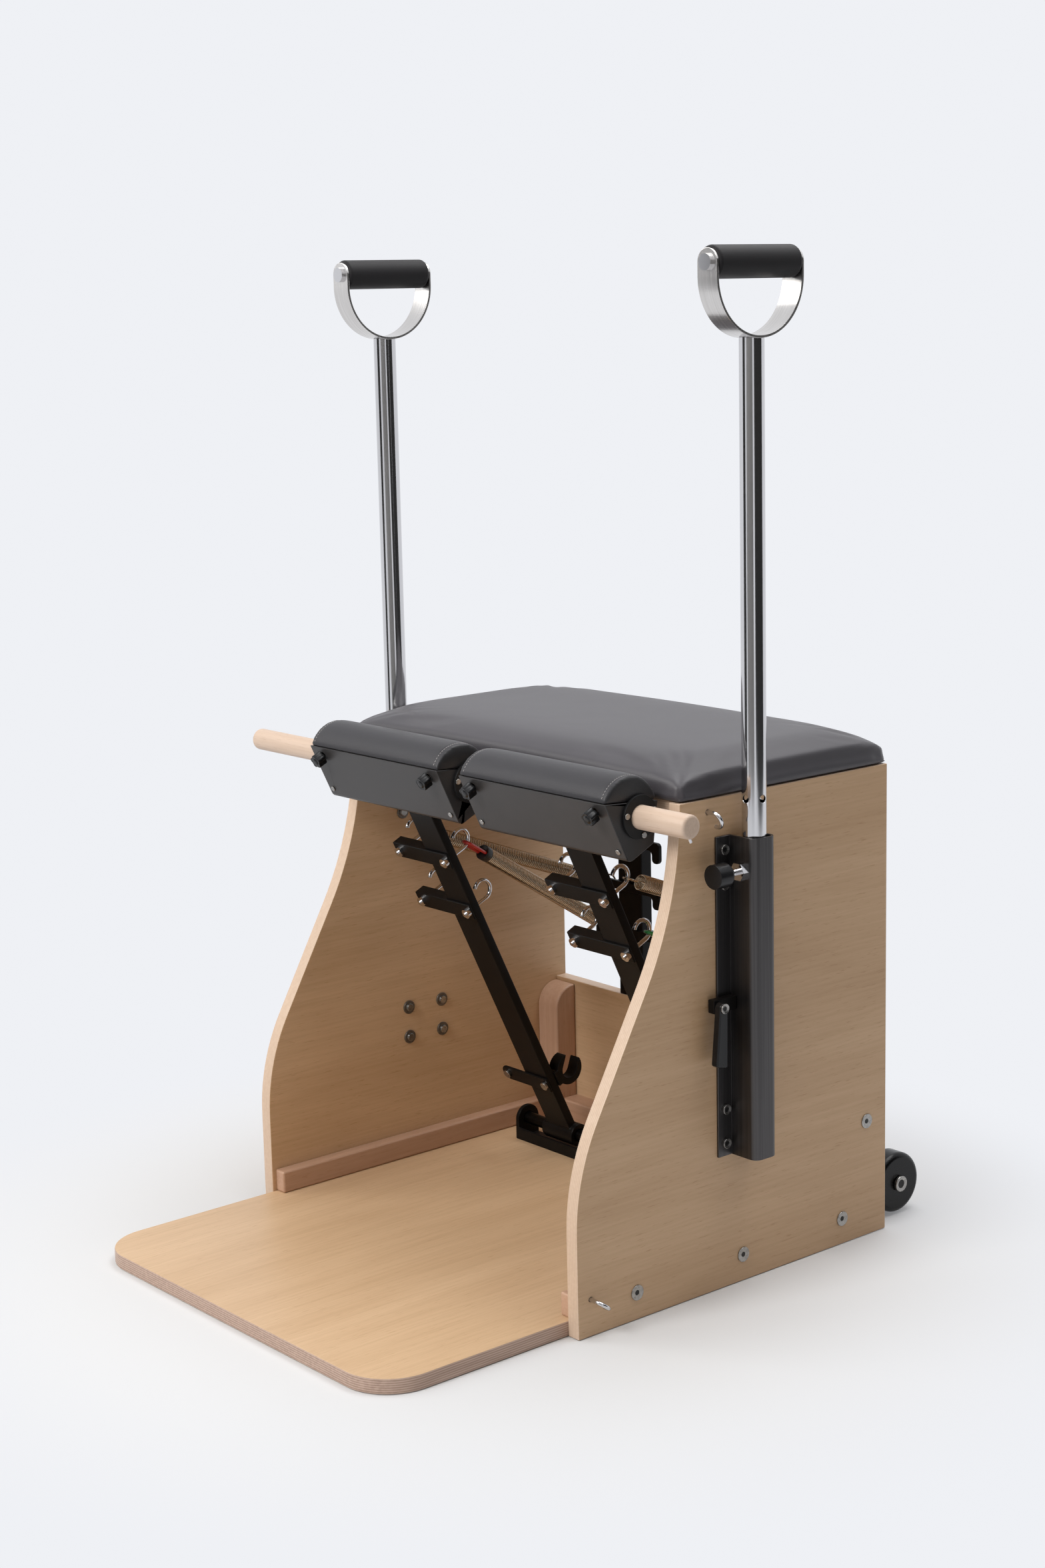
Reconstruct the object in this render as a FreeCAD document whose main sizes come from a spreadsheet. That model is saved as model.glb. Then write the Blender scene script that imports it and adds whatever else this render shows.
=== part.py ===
import FreeCAD, Part
import math
import os
import re
from types import SimpleNamespace

# Pilates chair: plywood panels, a padded seat, two sprung pedals on a common dowel, two height-set poles with grips.
# Millimetres. X runs to the right, Y to the back, Z up from the floor. The origin is the middle of the
# footboard's underside.

Vector = FreeCAD.Vector
doc = FreeCAD.newDocument("pilates_chair")

SIZES = [
    # plywood carcass
    ("ply", "18"),
    ("panel_height", "580"),
    ("panel_depth", "502"),
    ("inner_width", "572"),
    ("front_reach", "260"),
    ("top_set", "162"),
    ("edge_low", "120"),
    ("edge_lean", "29.5"),
    ("low_bend", "250"),
    ("toe_round", "60"),
    ("rail_width", "18"),
    ("rail_height", "28"),
    ("rail_set", "5"),
    ("batten_width", "39"),
    ("batten_depth", "34"),
    ("batten_set", "5"),
    ("batten_round", "30"),
    ("back_drop", "370"),
    ("cross_height", "30"),
    ("cross_depth", "29"),
    ("board_set", "8"),
    # seat cushion
    ("soft_gap", "0.2"),
    ("cushion_over", "2"),
    ("cushion_side", "20"),
    ("cushion_edge", "11"),
    ("cushion_crown", "24"),
    ("cushion_tuck", "2"),
    ("cushion_roll", "60"),
    ("cushion_dome", "2"),
    # poles and grips
    ("pole_radius", "14"),
    ("pole_wall", "2"),
    ("pole_out", "24"),
    ("pole_back", "254"),
    ("pole_set", "30"),
    ("pole_length", "893"),
    ("pole_play", "1"),
    ("hole_pitch", "81"),
    ("hole_radius", "4.5"),
    ("strap_width", "30"),
    ("strap_gauge", "3"),
    ("strap_span", "132"),
    ("grip_rise", "81"),
    ("grip_radius", "18"),
    ("grip_end", "0.3"),
    ("grip_bolt", "4"),
    ("grip_bolt_depth", "35"),
    ("grip_head", "9"),
    ("grip_head_height", "4"),
    # sleeves with plunger and cam lever
    ("sleeve_drop", "45"),
    ("sleeve_length", "375"),
    ("sleeve_wall", "3"),
    ("sleeve_round", "10"),
    ("flange_half", "39"),
    ("bolt_set", "27.5"),
    ("bolt_end", "15.5"),
    ("bolt_pitch", "40.5"),
    ("pin_drop", "38"),
    ("pin_radius", "4"),
    ("pin_play", "0.05"),
    ("pin_gap", "0.5"),
    ("barrel_radius", "7"),
    ("barrel_nut", "11"),
    ("barrel_nut_length", "10"),
    ("knob_radius", "14"),
    ("knob_length", "22"),
    ("knob_gap", "15"),
    ("clamp_width", "10"),
    ("clamp_reach", "36"),
    ("clamp_height", "16"),
    ("clamp_drop", "200"),
    ("lever_width", "10"),
    ("lever_depth", "12"),
    ("lever_length", "71"),
    ("lever_play", "0.3"),
    ("lever_screw", "3"),
    # fasteners
    ("bolt_radius", "3"),
    ("bolt_head", "6"),
    ("bolt_head_height", "3.5"),
    ("washer_radius", "9"),
    ("washer_gauge", "2"),
    ("nut_radius", "5"),
    ("nut_height", "2.5"),
    ("screw_depth", "12"),
    ("hole_play", "0.1"),
    ("rail_screw_first", "88"),
    ("rail_screw_last", "78"),
    ("batten_screw_set", "42"),
    ("hook_wire", "2.5"),
    ("top_hook_set", "43"),
    ("top_hook_drop", "15"),
    ("low_hook_set", "19"),
    ("low_hook_up", "43"),
    ("panel_hook_bend", "9"),
    ("panel_hook_reach", "9"),
    # pivot
    ("pivot_in", "109"),
    ("pivot_height", "45"),
    ("shaft_radius", "8"),
    ("shaft_play", "0.05"),
    ("shaft_cap", "12"),
    ("shaft_cap_length", "4"),
    ("base_in", "58"),
    ("base_depth", "36"),
    ("base_plate", "4"),
    ("lip_height", "16"),
    ("cheek_gauge", "6"),
    ("cheek_in", "24"),
    # pedals; what stands on the arm is set out from the dowel
    ("pedal_gap", "41"),
    ("pedal_side", "10.5"),
    ("arm_width", "46"),
    ("arm_depth", "12"),
    ("arm_wall", "2.5"),
    ("hub_radius", "15"),
    ("hub_width", "60"),
    ("box_under", "40"),
    ("box_front", "36.5"),
    ("box_over", "39.5"),
    ("box_back", "32.5"),
    ("box_back_over", "0.5"),
    ("box_wall", "3"),
    ("box_round", "8"),
    ("pad_side", "3"),
    ("pad_crown", "28"),
    ("pad_tuck", "1.5"),
    ("dowel_ahead", "43.14"),
    ("dowel_drop", "12.42"),
    ("dowel_radius", "13.75"),
    ("dowel_play", "0.05"),
    ("dowel_left", "183.5"),
    ("dowel_right", "84.5"),
    ("stop_pin_radius", "2"),
    ("stop_pin_length", "8"),
    ("stop_pin_set", "12"),
    ("collar_radius", "25"),
    ("collar_flange", "4"),
    ("collar_neck", "15.8"),
    ("collar_depth", "14"),
    ("collar_screw_ring", "21"),
    ("small_screw", "2"),
    ("small_head", "3.5"),
    ("small_head_height", "1.6"),
    ("small_screw_depth", "9"),
    ("plate_screw_set", "9"),
    ("plate_screw_under", "24.5"),
    ("knob_set", "21"),
    ("knob_over", "27.5"),
    ("hand_knob_radius", "9"),
    ("hand_knob_length", "13"),
    ("stud_radius", "4"),
    ("stud_length", "4"),
    ("rest_gap", "0.3"),
    ("button_radius", "8"),
    # brackets and hooks on the arms
    ("bracket_gauge", "3"),
    ("bracket_height", "22"),
    ("bracket_tail", "11"),
    ("bracket_end", "76"),
    ("hook_in", "16"),
    ("hook_under", "131.5"),
    ("hook_pitch", "78"),
    ("hook_back", "23"),
    ("hook_bend", "12.5"),
    ("hook_nut", "6.5"),
    ("hook_nut_height", "5"),
    ("saddle_up", "88"),
    ("saddle_reach", "70"),
    ("saddle_outer", "21"),
    ("saddle_inner", "12"),
    ("saddle_back", "30"),
    ("saddle_width", "18"),
    # spring rack behind
    ("rack_in", "16"),
    ("post_width", "46"),
    ("yoke_half", "63"),
    ("yoke_tip", "14"),
    ("yoke_bar", "12"),
    ("yoke_drop", "28"),
    ("yoke_gauge", "6"),
    ("yoke_under", "151"),
    ("yoke_pitch", "62"),
    ("yoke_round", "6"),
    # springs
    ("spring_radius", "8.6"),
    ("spring_wire", "1.4"),
    ("spring_curls", "24"),
    ("link_length", "44"),
    ("plain_link", "26"),
    ("link_width", "14"),
    ("link_gauge", "5"),
    ("link_hole", "4.5"),
    ("link_gap", "0.5"),
    ("eye_outer", "12"),
    ("eye_hole", "9"),
    ("eye_gauge", "4"),
    ("eye_tail", "34"),
    ("eye_tail_width", "8"),
    # transport wheels
    ("wheel_radius", "38"),
    ("wheel_width", "26"),
    ("wheel_round", "7"),
    ("wheel_lift", "2"),
    ("wheel_in", "16"),
    ("wheel_behind", "48"),
    ("axle_radius", "6"),
    ("axle_play", "0.05"),
    ("axle_head", "10"),
    ("axle_head_height", "5"),
    ("wheel_gap", "0.4"),
    ("bracket_plate", "5"),
    ("wheel_bracket_height", "50"),
    ("wheel_bracket_foot", "36"),
]

# Places that follow from the sizes.
LAYOUT = [
    ("half_in", "inner_width / 2"),
    ("half_out", "inner_width / 2 + ply"),
    ("front", "(front_reach - panel_depth) / 2"),
    ("back", "(front_reach + panel_depth) / 2"),
    ("toe", "-(front_reach + panel_depth) / 2"),
    ("back_face", "(front_reach + panel_depth) / 2 - ply"),
    ("batten_face", "(front_reach + panel_depth) / 2 - ply - batten_depth"),
    ("board_low", "panel_height - ply"),
    ("board_front", "(front_reach - panel_depth) / 2 + top_set + board_set"),
    ("back_top", "panel_height - back_drop"),
    ("back_height", "back_top - ply"),
    ("batten_height", "back_height - batten_set"),
    ("batten_screw_up", "batten_height - batten_screw_set"),
    ("pole_x", "inner_width / 2 + ply + pole_out"),
    ("strap_round", "strap_span / 2"),
    ("pole_y", "(front_reach - panel_depth) / 2 + pole_back"),
    ("tube_in", "pole_radius + pole_play"),
    ("tube_out", "pole_radius + pole_play + sleeve_wall"),
    ("sleeve_top", "panel_height - sleeve_drop"),
    ("sleeve_low", "sleeve_top - sleeve_length"),
    ("pin_height", "sleeve_top - pin_drop"),
    ("clamp_low", "sleeve_top - clamp_drop"),
    ("pole_low", "sleeve_low + pole_set"),
    ("pole_top", "pole_low + pole_length"),
    ("rail_screw_pitch", "(panel_depth - rail_screw_first - rail_screw_last) / 2"),
    ("base_half", "half_in - base_in"),
    ("pedal_width", "half_in - pedal_gap / 2 - pedal_side"),
    ("pedal_offset", "(pedal_gap + pedal_width) / 2"),
    ("rack_offset", "pedal_offset - rack_in"),
    ("yoke_top", "panel_height - yoke_under"),
    ("pivot_y", "back_face - pivot_in"),
    ("dowel_y", "board_front - dowel_ahead"),
    ("dowel_z", "panel_height - dowel_drop"),
    ("arm_lean", "atan2(pivot_y - dowel_y; dowel_z - pivot_height) / 1 deg"),
    ("dowel_up", "hypot(pivot_y - dowel_y; dowel_z - pivot_height)"),
    ("dowel_start", "-pedal_offset - pedal_width / 2 - dowel_left"),
    ("dowel_end", "pedal_offset + pedal_width / 2 + dowel_right"),
    ("box_low", "dowel_up - box_under"),
    ("box_top", "dowel_up + box_over"),
    ("box_back_top", "dowel_up + box_back_over"),
    ("plate_screw_up", "dowel_up - plate_screw_under"),
    ("knob_up", "dowel_up + knob_over"),
    ("hook_high", "dowel_up - hook_under"),
    ("hook_low", "hook_high - hook_pitch"),
    ("bracket_reach", "bracket_end + bracket_tail"),
    ("wheel_x", "inner_width / 2 - wheel_in"),
    ("wheel_y", "(front_reach + panel_depth) / 2 + wheel_behind"),
    ("wheel_z", "wheel_radius + wheel_lift"),
]

WORD = re.compile(r"[a-z][a-z_0-9]*")
size_names = {name for name, value in SIZES}
layout_names = {name for name, text in LAYOUT}


def bound(text):
    """Turn plain size names into references to the two sheets."""
    def swap(found):
        word = found.group()
        if word in size_names:
            return "Sizes." + word
        if word in layout_names:
            return "Layout." + word
        return word
    return WORD.sub(swap, text)


sheet = doc.addObject("Spreadsheet::Sheet", "Sizes")
for row, (name, value) in enumerate(SIZES, 1):
    sheet.set("A%d" % row, name)
    sheet.set("B%d" % row, value)
    sheet.setAlias("B%d" % row, name)
layout = doc.addObject("Spreadsheet::Sheet", "Layout")
for row, (name, text) in enumerate(LAYOUT, 1):
    layout.set("A%d" % row, name)
    layout.set("B%d" % row, "=" + bound(text).replace("Layout.", ""))
    layout.setAlias("B%d" % row, name)
doc.recompute()
v = SimpleNamespace()
for name in size_names:
    setattr(v, name, float(sheet.get(name)))
for name in layout_names:
    setattr(v, name, float(layout.get(name)))

TURNS = {
    "x": FreeCAD.Rotation(Vector(0, 1, 0), 90),
    "y": FreeCAD.Rotation(Vector(1, 0, 0), -90),
    "z": FreeCAD.Rotation(),
}
SIDES = (("left", -1), ("right", 1))
NODES = []


def keep(item, name):
    """Give a finished sub-part its name and put it on the list of nodes."""
    item.Label = name
    NODES.append(item)
    return item


def place(item, x="0", y="0", z="0"):
    for letter, text in zip("xyz", (x, y, z)):
        item.setExpression("Placement.Base." + letter, bound(text))
    return item


def box(length, width, height, x, y, z):
    item = doc.addObject("Part::Box", "block")
    for name, text in zip(("Length", "Width", "Height"), (length, width, height)):
        item.setExpression(name, bound(text))
    return place(item, x, y, z)


def rod(radius, length, axis, x, y, z):
    """A cylinder that starts at the given point and runs along +axis."""
    item = doc.addObject("Part::Cylinder", "rod")
    item.setExpression("Radius", bound(radius))
    item.setExpression("Height", bound(length))
    item.Placement.Rotation = TURNS[axis]
    return place(item, x, y, z)


def hexagon(radius, length, axis, x, y, z):
    item = doc.addObject("Part::Prism", "hexagon")
    item.Polygon = 6
    item.setExpression("Circumradius", bound(radius))
    item.setExpression("Height", bound(length))
    item.Placement.Rotation = TURNS[axis]
    return place(item, x, y, z)


def fuse(*items):
    item = doc.addObject("Part::MultiFuse", "joined")
    item.Shapes = list(items)
    item.Refine = True
    return item


def group(items):
    item = doc.addObject("Part::Compound", "group")
    item.Links = list(items)
    return item


def cut(base, *tools):
    item = doc.addObject("Part::Cut", "cut")
    item.Base = base
    item.Tool = tools[0] if len(tools) == 1 else group(tools)
    return item


def feature(shape, name="shape"):
    item = doc.addObject("Part::Feature", name)
    item.Shape = shape
    return item


def rounded(corners):
    """Lines and tangent arcs through corners (a, b, radius), as one closed outline."""
    points = [Vector(a, b, 0) for a, b, radius in corners]
    starts, ends, arcs = [], [], []
    for i, (a, b, radius) in enumerate(corners):
        here = points[i]
        to_last = (points[i - 1] - here).normalize()
        to_next = (points[(i + 1) % len(points)] - here).normalize()
        half = to_last.getAngle(to_next) / 2
        run = radius / math.tan(half)
        starts.append(here + to_last * run)
        ends.append(here + to_next * run)
        middle = (to_last + to_next).normalize()
        inward = radius / math.sin(half) - radius
        arcs.append(Part.Arc(starts[i], here + middle * inward, ends[i]) if radius > 0 else None)
    edges = []
    for i in range(len(corners)):
        if arcs[i]:
            edges.append(arcs[i])
        after = starts[(i + 1) % len(corners)]
        if (after - ends[i]).Length > 1e-6:
            edges.append(Part.LineSegment(ends[i], after))
    return edges


def plate(plane, outline, thickness, holes=()):
    """A body padded from an outline on one of its own origin planes, with round holes (a, b, radius)."""
    body = doc.addObject("PartDesign::Body", "plate")
    sketch = body.newObject("Sketcher::SketchObject", "outline")
    support = [item for item in body.Origin.OriginFeatures if item.Role == plane][0]
    sketch.AttachmentSupport = [(support, "")]
    sketch.MapMode = "FlatFace"
    sketch.addGeometry(outline, False)
    for a, b, radius in holes:
        sketch.addGeometry(Part.Circle(Vector(a, b, 0), Vector(0, 0, 1), radius), False)
    pad = body.newObject("PartDesign::Pad", "thickness")
    pad.Profile = sketch
    pad.setExpression("Length", bound(thickness))
    sketch.Visibility = False
    return body


def across(side, radius, inner, outer, y, z):
    """A cylinder along X between two distances from the middle plane, on one side."""
    start = inner if side > 0 else "-(%s)" % outer
    return rod(radius, "(%s) - (%s)" % (outer, inner), "x", start, y, z)


def slab(side, inner, outer, width, height, y, z):
    """A block between two distances from the middle plane, on one side."""
    start = inner if side > 0 else "-(%s)" % outer
    return box("(%s) - (%s)" % (outer, inner), width, height, start, y, z)


def bent_wire(edges, radius, start, direction):
    """A round wire along lines and arcs."""
    circle = Part.Wire(Part.makeCircle(radius, start, direction))
    path = Part.Wire([edge.toShape() for edge in edges])
    return path.makePipeShell([circle], True, False)


# Side panels: an upright front edge, a low arc, a straight lean and a high arc back to upright.
lean = math.radians(v.edge_lean)
rise = v.panel_height - v.edge_low
bends = (v.top_set * math.cos(lean) - rise * math.sin(lean)) / (math.cos(lean) - 1)
high_bend = bends - v.low_bend
top_front = v.front + v.top_set


def on_low_bend(angle):
    return Vector(v.front + v.low_bend * (1 - math.cos(angle)), v.edge_low + v.low_bend * math.sin(angle), 0)


def on_high_bend(angle):
    return Vector(top_front - high_bend * (1 - math.cos(angle)), v.panel_height - high_bend * math.sin(angle), 0)


panel_edge = [
    Part.LineSegment(Vector(v.front, 0, 0), Vector(v.back, 0, 0)),
    Part.LineSegment(Vector(v.back, 0, 0), Vector(v.back, v.panel_height, 0)),
    Part.LineSegment(Vector(v.back, v.panel_height, 0), on_high_bend(0)),
    Part.Arc(on_high_bend(0), on_high_bend(lean / 2), on_high_bend(lean)),
    Part.LineSegment(on_high_bend(lean), on_low_bend(lean)),
    Part.Arc(on_low_bend(lean), on_low_bend(lean / 2), on_low_bend(0)),
    Part.LineSegment(on_low_bend(0), Vector(v.front, 0, 0)),
]

# Where fasteners cross the panels, as texts that name the sizes.
sleeve_bolt_places = []
for y in ("pole_y - bolt_set", "pole_y + bolt_set"):
    for z in ("sleeve_low + bolt_end", "sleeve_low + bolt_end + bolt_pitch",
              "sleeve_top - bolt_end - bolt_pitch", "sleeve_top - bolt_end"):
        sleeve_bolt_places.append((y, z))
rail_screw_places = [("front + rail_screw_first + %d * rail_screw_pitch" % i, "ply + rail_height / 2") for i in range(3)]
batten_screw_place = ("batten_face + batten_depth / 2", "batten_screw_up")
panel_screw_places = rail_screw_places + [batten_screw_place]
top_hook_place = ("front + top_set + top_hook_set", "panel_height - top_hook_drop")
low_hook_place = ("front + low_hook_set", "low_hook_up")

for name, side in SIDES:
    blank = plate("YZ_Plane", panel_edge, "ply")
    place(blank, "half_in" if side > 0 else "-half_out")
    holes = [across(side, "bolt_radius + hole_play", "half_in", "half_out", y, z)
             for y, z in sleeve_bolt_places + panel_screw_places]
    holes.append(across(side, "hook_wire + hole_play", "half_out - screw_depth", "half_out",
                        *top_hook_place))
    holes.append(across(side, "hook_wire + hole_play", "half_out - screw_depth", "half_out", *low_hook_place))
    keep(cut(blank, *holes), "side_panel_" + name)

# Footboard with rounded front corners, back panel, and the strips that tie them to the panels.
footboard = plate("XY_Plane", rounded([
    (-v.half_in, v.back, 0), (-v.half_in, v.toe, v.toe_round), (v.half_in, v.toe, v.toe_round), (v.half_in, v.back, 0),
]), "ply")
keep(place(footboard), "footboard")
keep(box("inner_width", "ply", "back_height", "-half_in", "back_face", "ply"), "back_panel")

rails = []
battens = []
for name, side in SIDES:
    rail = slab(side, "half_in - rail_width", "half_in", "batten_face - front - rail_set", "rail_height",
                "front + rail_set", "ply")
    holes = [across(side, "bolt_radius + hole_play", "half_in - screw_depth", "half_in", y, z)
             for y, z in rail_screw_places]
    rails.append(cut(rail, *holes))
    batten_edge = rounded([
        (v.batten_face, v.ply, 0), (v.back_face, v.ply, 0), (v.back_face, v.ply + v.batten_height, 0),
        (v.batten_face, v.ply + v.batten_height, v.batten_round),
    ])
    batten = plate("YZ_Plane", batten_edge, "batten_width")
    place(batten, "half_in - batten_width" if side > 0 else "-half_in")
    y, z = batten_screw_place
    battens.append(cut(batten, across(side, "bolt_radius + hole_play", "half_in - screw_depth", "half_in", y, z)))
keep(group(rails), "floor_rails")
keep(group(battens), "back_battens")
keep(box("inner_width - 2 * batten_width", "cross_depth", "cross_height",
         "batten_width - half_in", "back_face - cross_depth", "ply"), "rear_cross_rail")
keep(box("inner_width", "back - board_front", "ply", "-half_in", "board_front", "board_low"), "seat_board")

screws = []
for name, side in SIDES:
    for y, z in panel_screw_places:
        shank = across(side, "bolt_radius", "half_in - screw_depth", "half_out", y, z)
        head = across(side, "washer_radius", "half_out", "half_out + small_head_height", y, z)
        screws.append(fuse(shank, head))
keep(group(screws), "panel_screws")


# Seat cushion: soft sides drawn in at the foot, shoulders that roll over to an almost flat top, and low corners.
def cushion_section(y, half, side_height, top):
    foot = v.panel_height + v.soft_gap
    low = half - v.cushion_tuck
    shoulder = half - v.cushion_tuck / 2
    corners = [Vector(low, y, foot), Vector(shoulder, y, foot + side_height)]
    mirrored = [Vector(-point.x, y, point.z) for point in corners]
    bulge = Vector(half, y, foot + side_height / 2)
    rise = top - v.cushion_dome - side_height
    turn = (v.cushion_roll ** 2 + rise ** 2) / (2 * rise)
    lean = math.asin(v.cushion_roll / turn) / 2
    flat = Vector(shoulder - v.cushion_roll, y, foot + side_height + rise)
    roll = flat + Vector(turn * math.sin(lean), 0, turn * (math.cos(lean) - 1))
    flat_mirror = Vector(-flat.x, y, flat.z)
    return Part.Wire([
        Part.LineSegment(mirrored[0], corners[0]).toShape(),
        Part.Arc(corners[0], bulge, corners[1]).toShape(),
        Part.Arc(corners[1], roll, flat).toShape(),
        Part.Arc(flat, Vector(0, y, foot + top), flat_mirror).toShape(),
        Part.Arc(flat_mirror, Vector(-roll.x, y, roll.z), mirrored[1]).toShape(),
        Part.Arc(mirrored[1], Vector(-half, y, bulge.z), mirrored[0]).toShape(),
    ])


cushion_front = top_front - v.cushion_over
cushion_depth = v.back + v.cushion_over - cushion_front
cushion_half = v.half_out + v.cushion_over
edge_top = v.cushion_side + v.cushion_edge
cushion_sections = []
section_count = 11
for i in range(section_count):
    share = 2 * i / (section_count - 1) - 1
    tuck = v.cushion_tuck if abs(share) == 1 else 0
    swell = 1 - share ** 6
    cushion_sections.append(cushion_section(cushion_front + cushion_depth * (share + 1) / 2, cushion_half - tuck,
                                            v.cushion_side + v.cushion_edge * swell - tuck,
                                            edge_top + (v.cushion_crown - v.cushion_edge) * swell - tuck))
keep(feature(Part.makeLoft(cushion_sections, True, False)), "seat_cushion")

# Pole sleeves: a hat section of folded sheet, open to the panel, that lets the pole slide.
reach = v.pole_out + v.tube_out
sleeves = []
for name, side in SIDES:
    hat = [
        (0, -v.flange_half, 0), (v.sleeve_wall, -v.flange_half, 0), (v.sleeve_wall, -v.tube_out, 0),
        (reach, -v.tube_out, v.sleeve_round), (reach, v.tube_out, v.sleeve_round),
        (v.sleeve_wall, v.tube_out, 0), (v.sleeve_wall, v.flange_half, 0), (0, v.flange_half, 0), (0, v.tube_in, 0),
        (reach - v.sleeve_wall, v.tube_in, v.sleeve_round - v.sleeve_wall),
        (reach - v.sleeve_wall, -v.tube_in, v.sleeve_round - v.sleeve_wall), (0, -v.tube_in, 0),
    ]
    profile = plate("XY_Plane", rounded([(side * (v.half_out + a), v.pole_y + b, r) for a, b, r in hat]),
                    "sleeve_length")
    place(profile, z="sleeve_low")
    holes = [across(side, "bolt_radius + hole_play", "half_out", "half_out + sleeve_wall", y, z)
             for y, z in sleeve_bolt_places]
    holes.append(rod("barrel_radius + hole_play", "sleeve_wall", "y",
                     "pole_x" if side > 0 else "-pole_x", "pole_y - tube_out", "pin_height"))
    sleeves.append(cut(profile, *holes))
keep(group(sleeves), "pole_sleeves")

bolts = []
for name, side in SIDES:
    for y, z in sleeve_bolt_places:
        washer_in = "half_in - washer_gauge"
        shank = across(side, "bolt_radius", washer_in, "half_out + sleeve_wall", y, z)
        head = across(side, "bolt_head", "half_out + sleeve_wall", "half_out + sleeve_wall + bolt_head_height", y, z)
        washer = across(side, "washer_radius", washer_in, "half_in", y, z)
        nut = across(side, "nut_radius", washer_in + " - nut_height", washer_in, y, z)
        bolts.append(fuse(shank, head, washer, nut))

# Spring plungers: a hexagon barrel in the sleeve's front wall and a pin with a round knob.
barrels = []
nut_face = "pole_y - tube_out - barrel_nut_length"
for name, side in SIDES:
    x = "pole_x" if side > 0 else "-pole_x"
    nut = hexagon("barrel_nut", "barrel_nut_length", "y", x, nut_face, "pin_height")
    neck = rod("barrel_radius", "sleeve_wall", "y", x, "pole_y - tube_out", "pin_height")
    bore = rod("pin_radius + pin_play", "barrel_nut_length + sleeve_wall", "y", x, nut_face, "pin_height")
    barrels.append(cut(fuse(nut, neck), bore))
    knob = rod("knob_radius", "knob_length", "y", x, nut_face + " - knob_gap - knob_length", "pin_height")
    knob_round = doc.addObject("Part::Fillet", "knob_round")
    knob_round.Base = knob
    knob_round.Edges = [(1, v.knob_radius * 0.6, v.knob_radius * 0.6), (3, v.knob_radius * 0.3, v.knob_radius * 0.3)]
    pin = rod("pin_radius", "knob_gap + barrel_nut_length + tube_out - pole_radius - pin_gap", "y",
              x, nut_face + " - knob_gap", "pin_height")
    keep(fuse(knob_round, pin), "pull_pin_" + name)
keep(group(barrels), "plunger_barrels")

# Cam levers: each hangs beside its clamp block on a cross screw.
clamps = []
block_out = "half_out + sleeve_wall + clamp_width"
lever_in = block_out + " + lever_play"
lever_out = lever_in + " + lever_width"
block_front = "pole_y - tube_out - clamp_reach"
lever_y = block_front + " + lever_depth / 2"
lever_z = "clamp_low + clamp_height / 2"
lever_half = v.lever_depth / 2
lever_edge = [(-lever_half, lever_half, lever_half * 0.95), (-lever_half, -v.lever_length, lever_half * 0.5),
              (lever_half, -v.lever_length, lever_half * 0.5), (lever_half, lever_half, lever_half * 0.95)]
for name, side in SIDES:
    block = slab(side, "half_out + sleeve_wall", block_out, "clamp_reach", "clamp_height", block_front, "clamp_low")
    clamps.append(cut(block, across(side, "lever_screw + hole_play", "half_out + sleeve_wall", block_out,
                                    lever_y, lever_z)))
    lever = plate("YZ_Plane", rounded(lever_edge), "lever_width", [(0, 0, v.lever_screw + v.pin_play)])
    place(lever, lever_in if side > 0 else "-(%s)" % lever_out, lever_y, lever_z)
    keep(lever, "cam_lever_" + name)
    shank = across(side, "lever_screw", "half_out + sleeve_wall", lever_out + " + lever_play", lever_y, lever_z)
    head = across(side, "bolt_head", lever_out + " + lever_play", lever_out + " + lever_play + small_head_height",
                  lever_y, lever_z)
    bolts.append(fuse(shank, head))
keep(group(clamps), "clamp_blocks")
keep(group(bolts), "sleeve_bolts")


# Screw hooks on the outer faces of the panels: a straight shank and a round hook that falls to one side.
def screw_hook(side, y, z, fall):
    start = Vector(side * (v.half_out - v.screw_depth), y, z)
    turn = Vector(side * (v.half_out + v.panel_hook_reach), y, z)
    centre = turn + fall * v.panel_hook_bend

    def on_hook(degrees):
        angle = math.radians(degrees)
        outward = Vector(side * v.panel_hook_bend * math.sin(angle), 0, 0)
        return centre - fall * (v.panel_hook_bend * math.cos(angle)) + outward

    edges = [Part.LineSegment(start, turn), Part.Arc(turn, on_hook(50), on_hook(100)),
             Part.Arc(on_hook(100), on_hook(150), on_hook(200))]
    return feature(bent_wire(edges, v.hook_wire, start, Vector(side, 0, 0)))


panel_hooks = []
for name, side in SIDES:
    panel_hooks.append(screw_hook(side, v.front + v.top_set + v.top_hook_set, v.panel_height - v.top_hook_drop,
                                  Vector(0, 0.36, -0.93).normalize()))
    panel_hooks.append(screw_hook(side, v.front + v.low_hook_set, v.low_hook_up, Vector(0, 0.8, -0.6)))
keep(group(panel_hooks), "screw_hooks")

# Pivot base: a low channel with round-topped cheeks that carry the pedal shaft.
base_pieces = [
    box("2 * base_half", "base_depth", "base_plate", "-base_half", "pivot_y - base_depth / 2", "ply"),
    box("2 * base_half", "base_plate", "lip_height", "-base_half", "pivot_y - base_depth / 2", "ply"),
]
cheek_half = v.base_depth / 2
cheek_top = v.pivot_height + cheek_half
cheek_edge = rounded([
    (v.pivot_y - cheek_half, v.ply, 0), (v.pivot_y + cheek_half, v.ply, 0),
    (v.pivot_y + cheek_half, cheek_top, cheek_half), (v.pivot_y - cheek_half, cheek_top, cheek_half),
])
for x in ("-base_half", "-cheek_in - cheek_gauge", "cheek_in", "base_half - cheek_gauge"):
    base_pieces.append(place(plate("YZ_Plane", cheek_edge, "cheek_gauge"), x))
shaft_hole = rod("shaft_radius + hole_play", "2 * base_half", "x", "-base_half", "pivot_y", "pivot_height")
keep(cut(fuse(*base_pieces), shaft_hole), "pivot_base")
shaft = rod("shaft_radius", "2 * base_half", "x", "-base_half", "pivot_y", "pivot_height")
caps = [across(side, "shaft_cap", "base_half", "base_half + shaft_cap_length", "pivot_y", "pivot_height")
        for name, side in SIDES]
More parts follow.
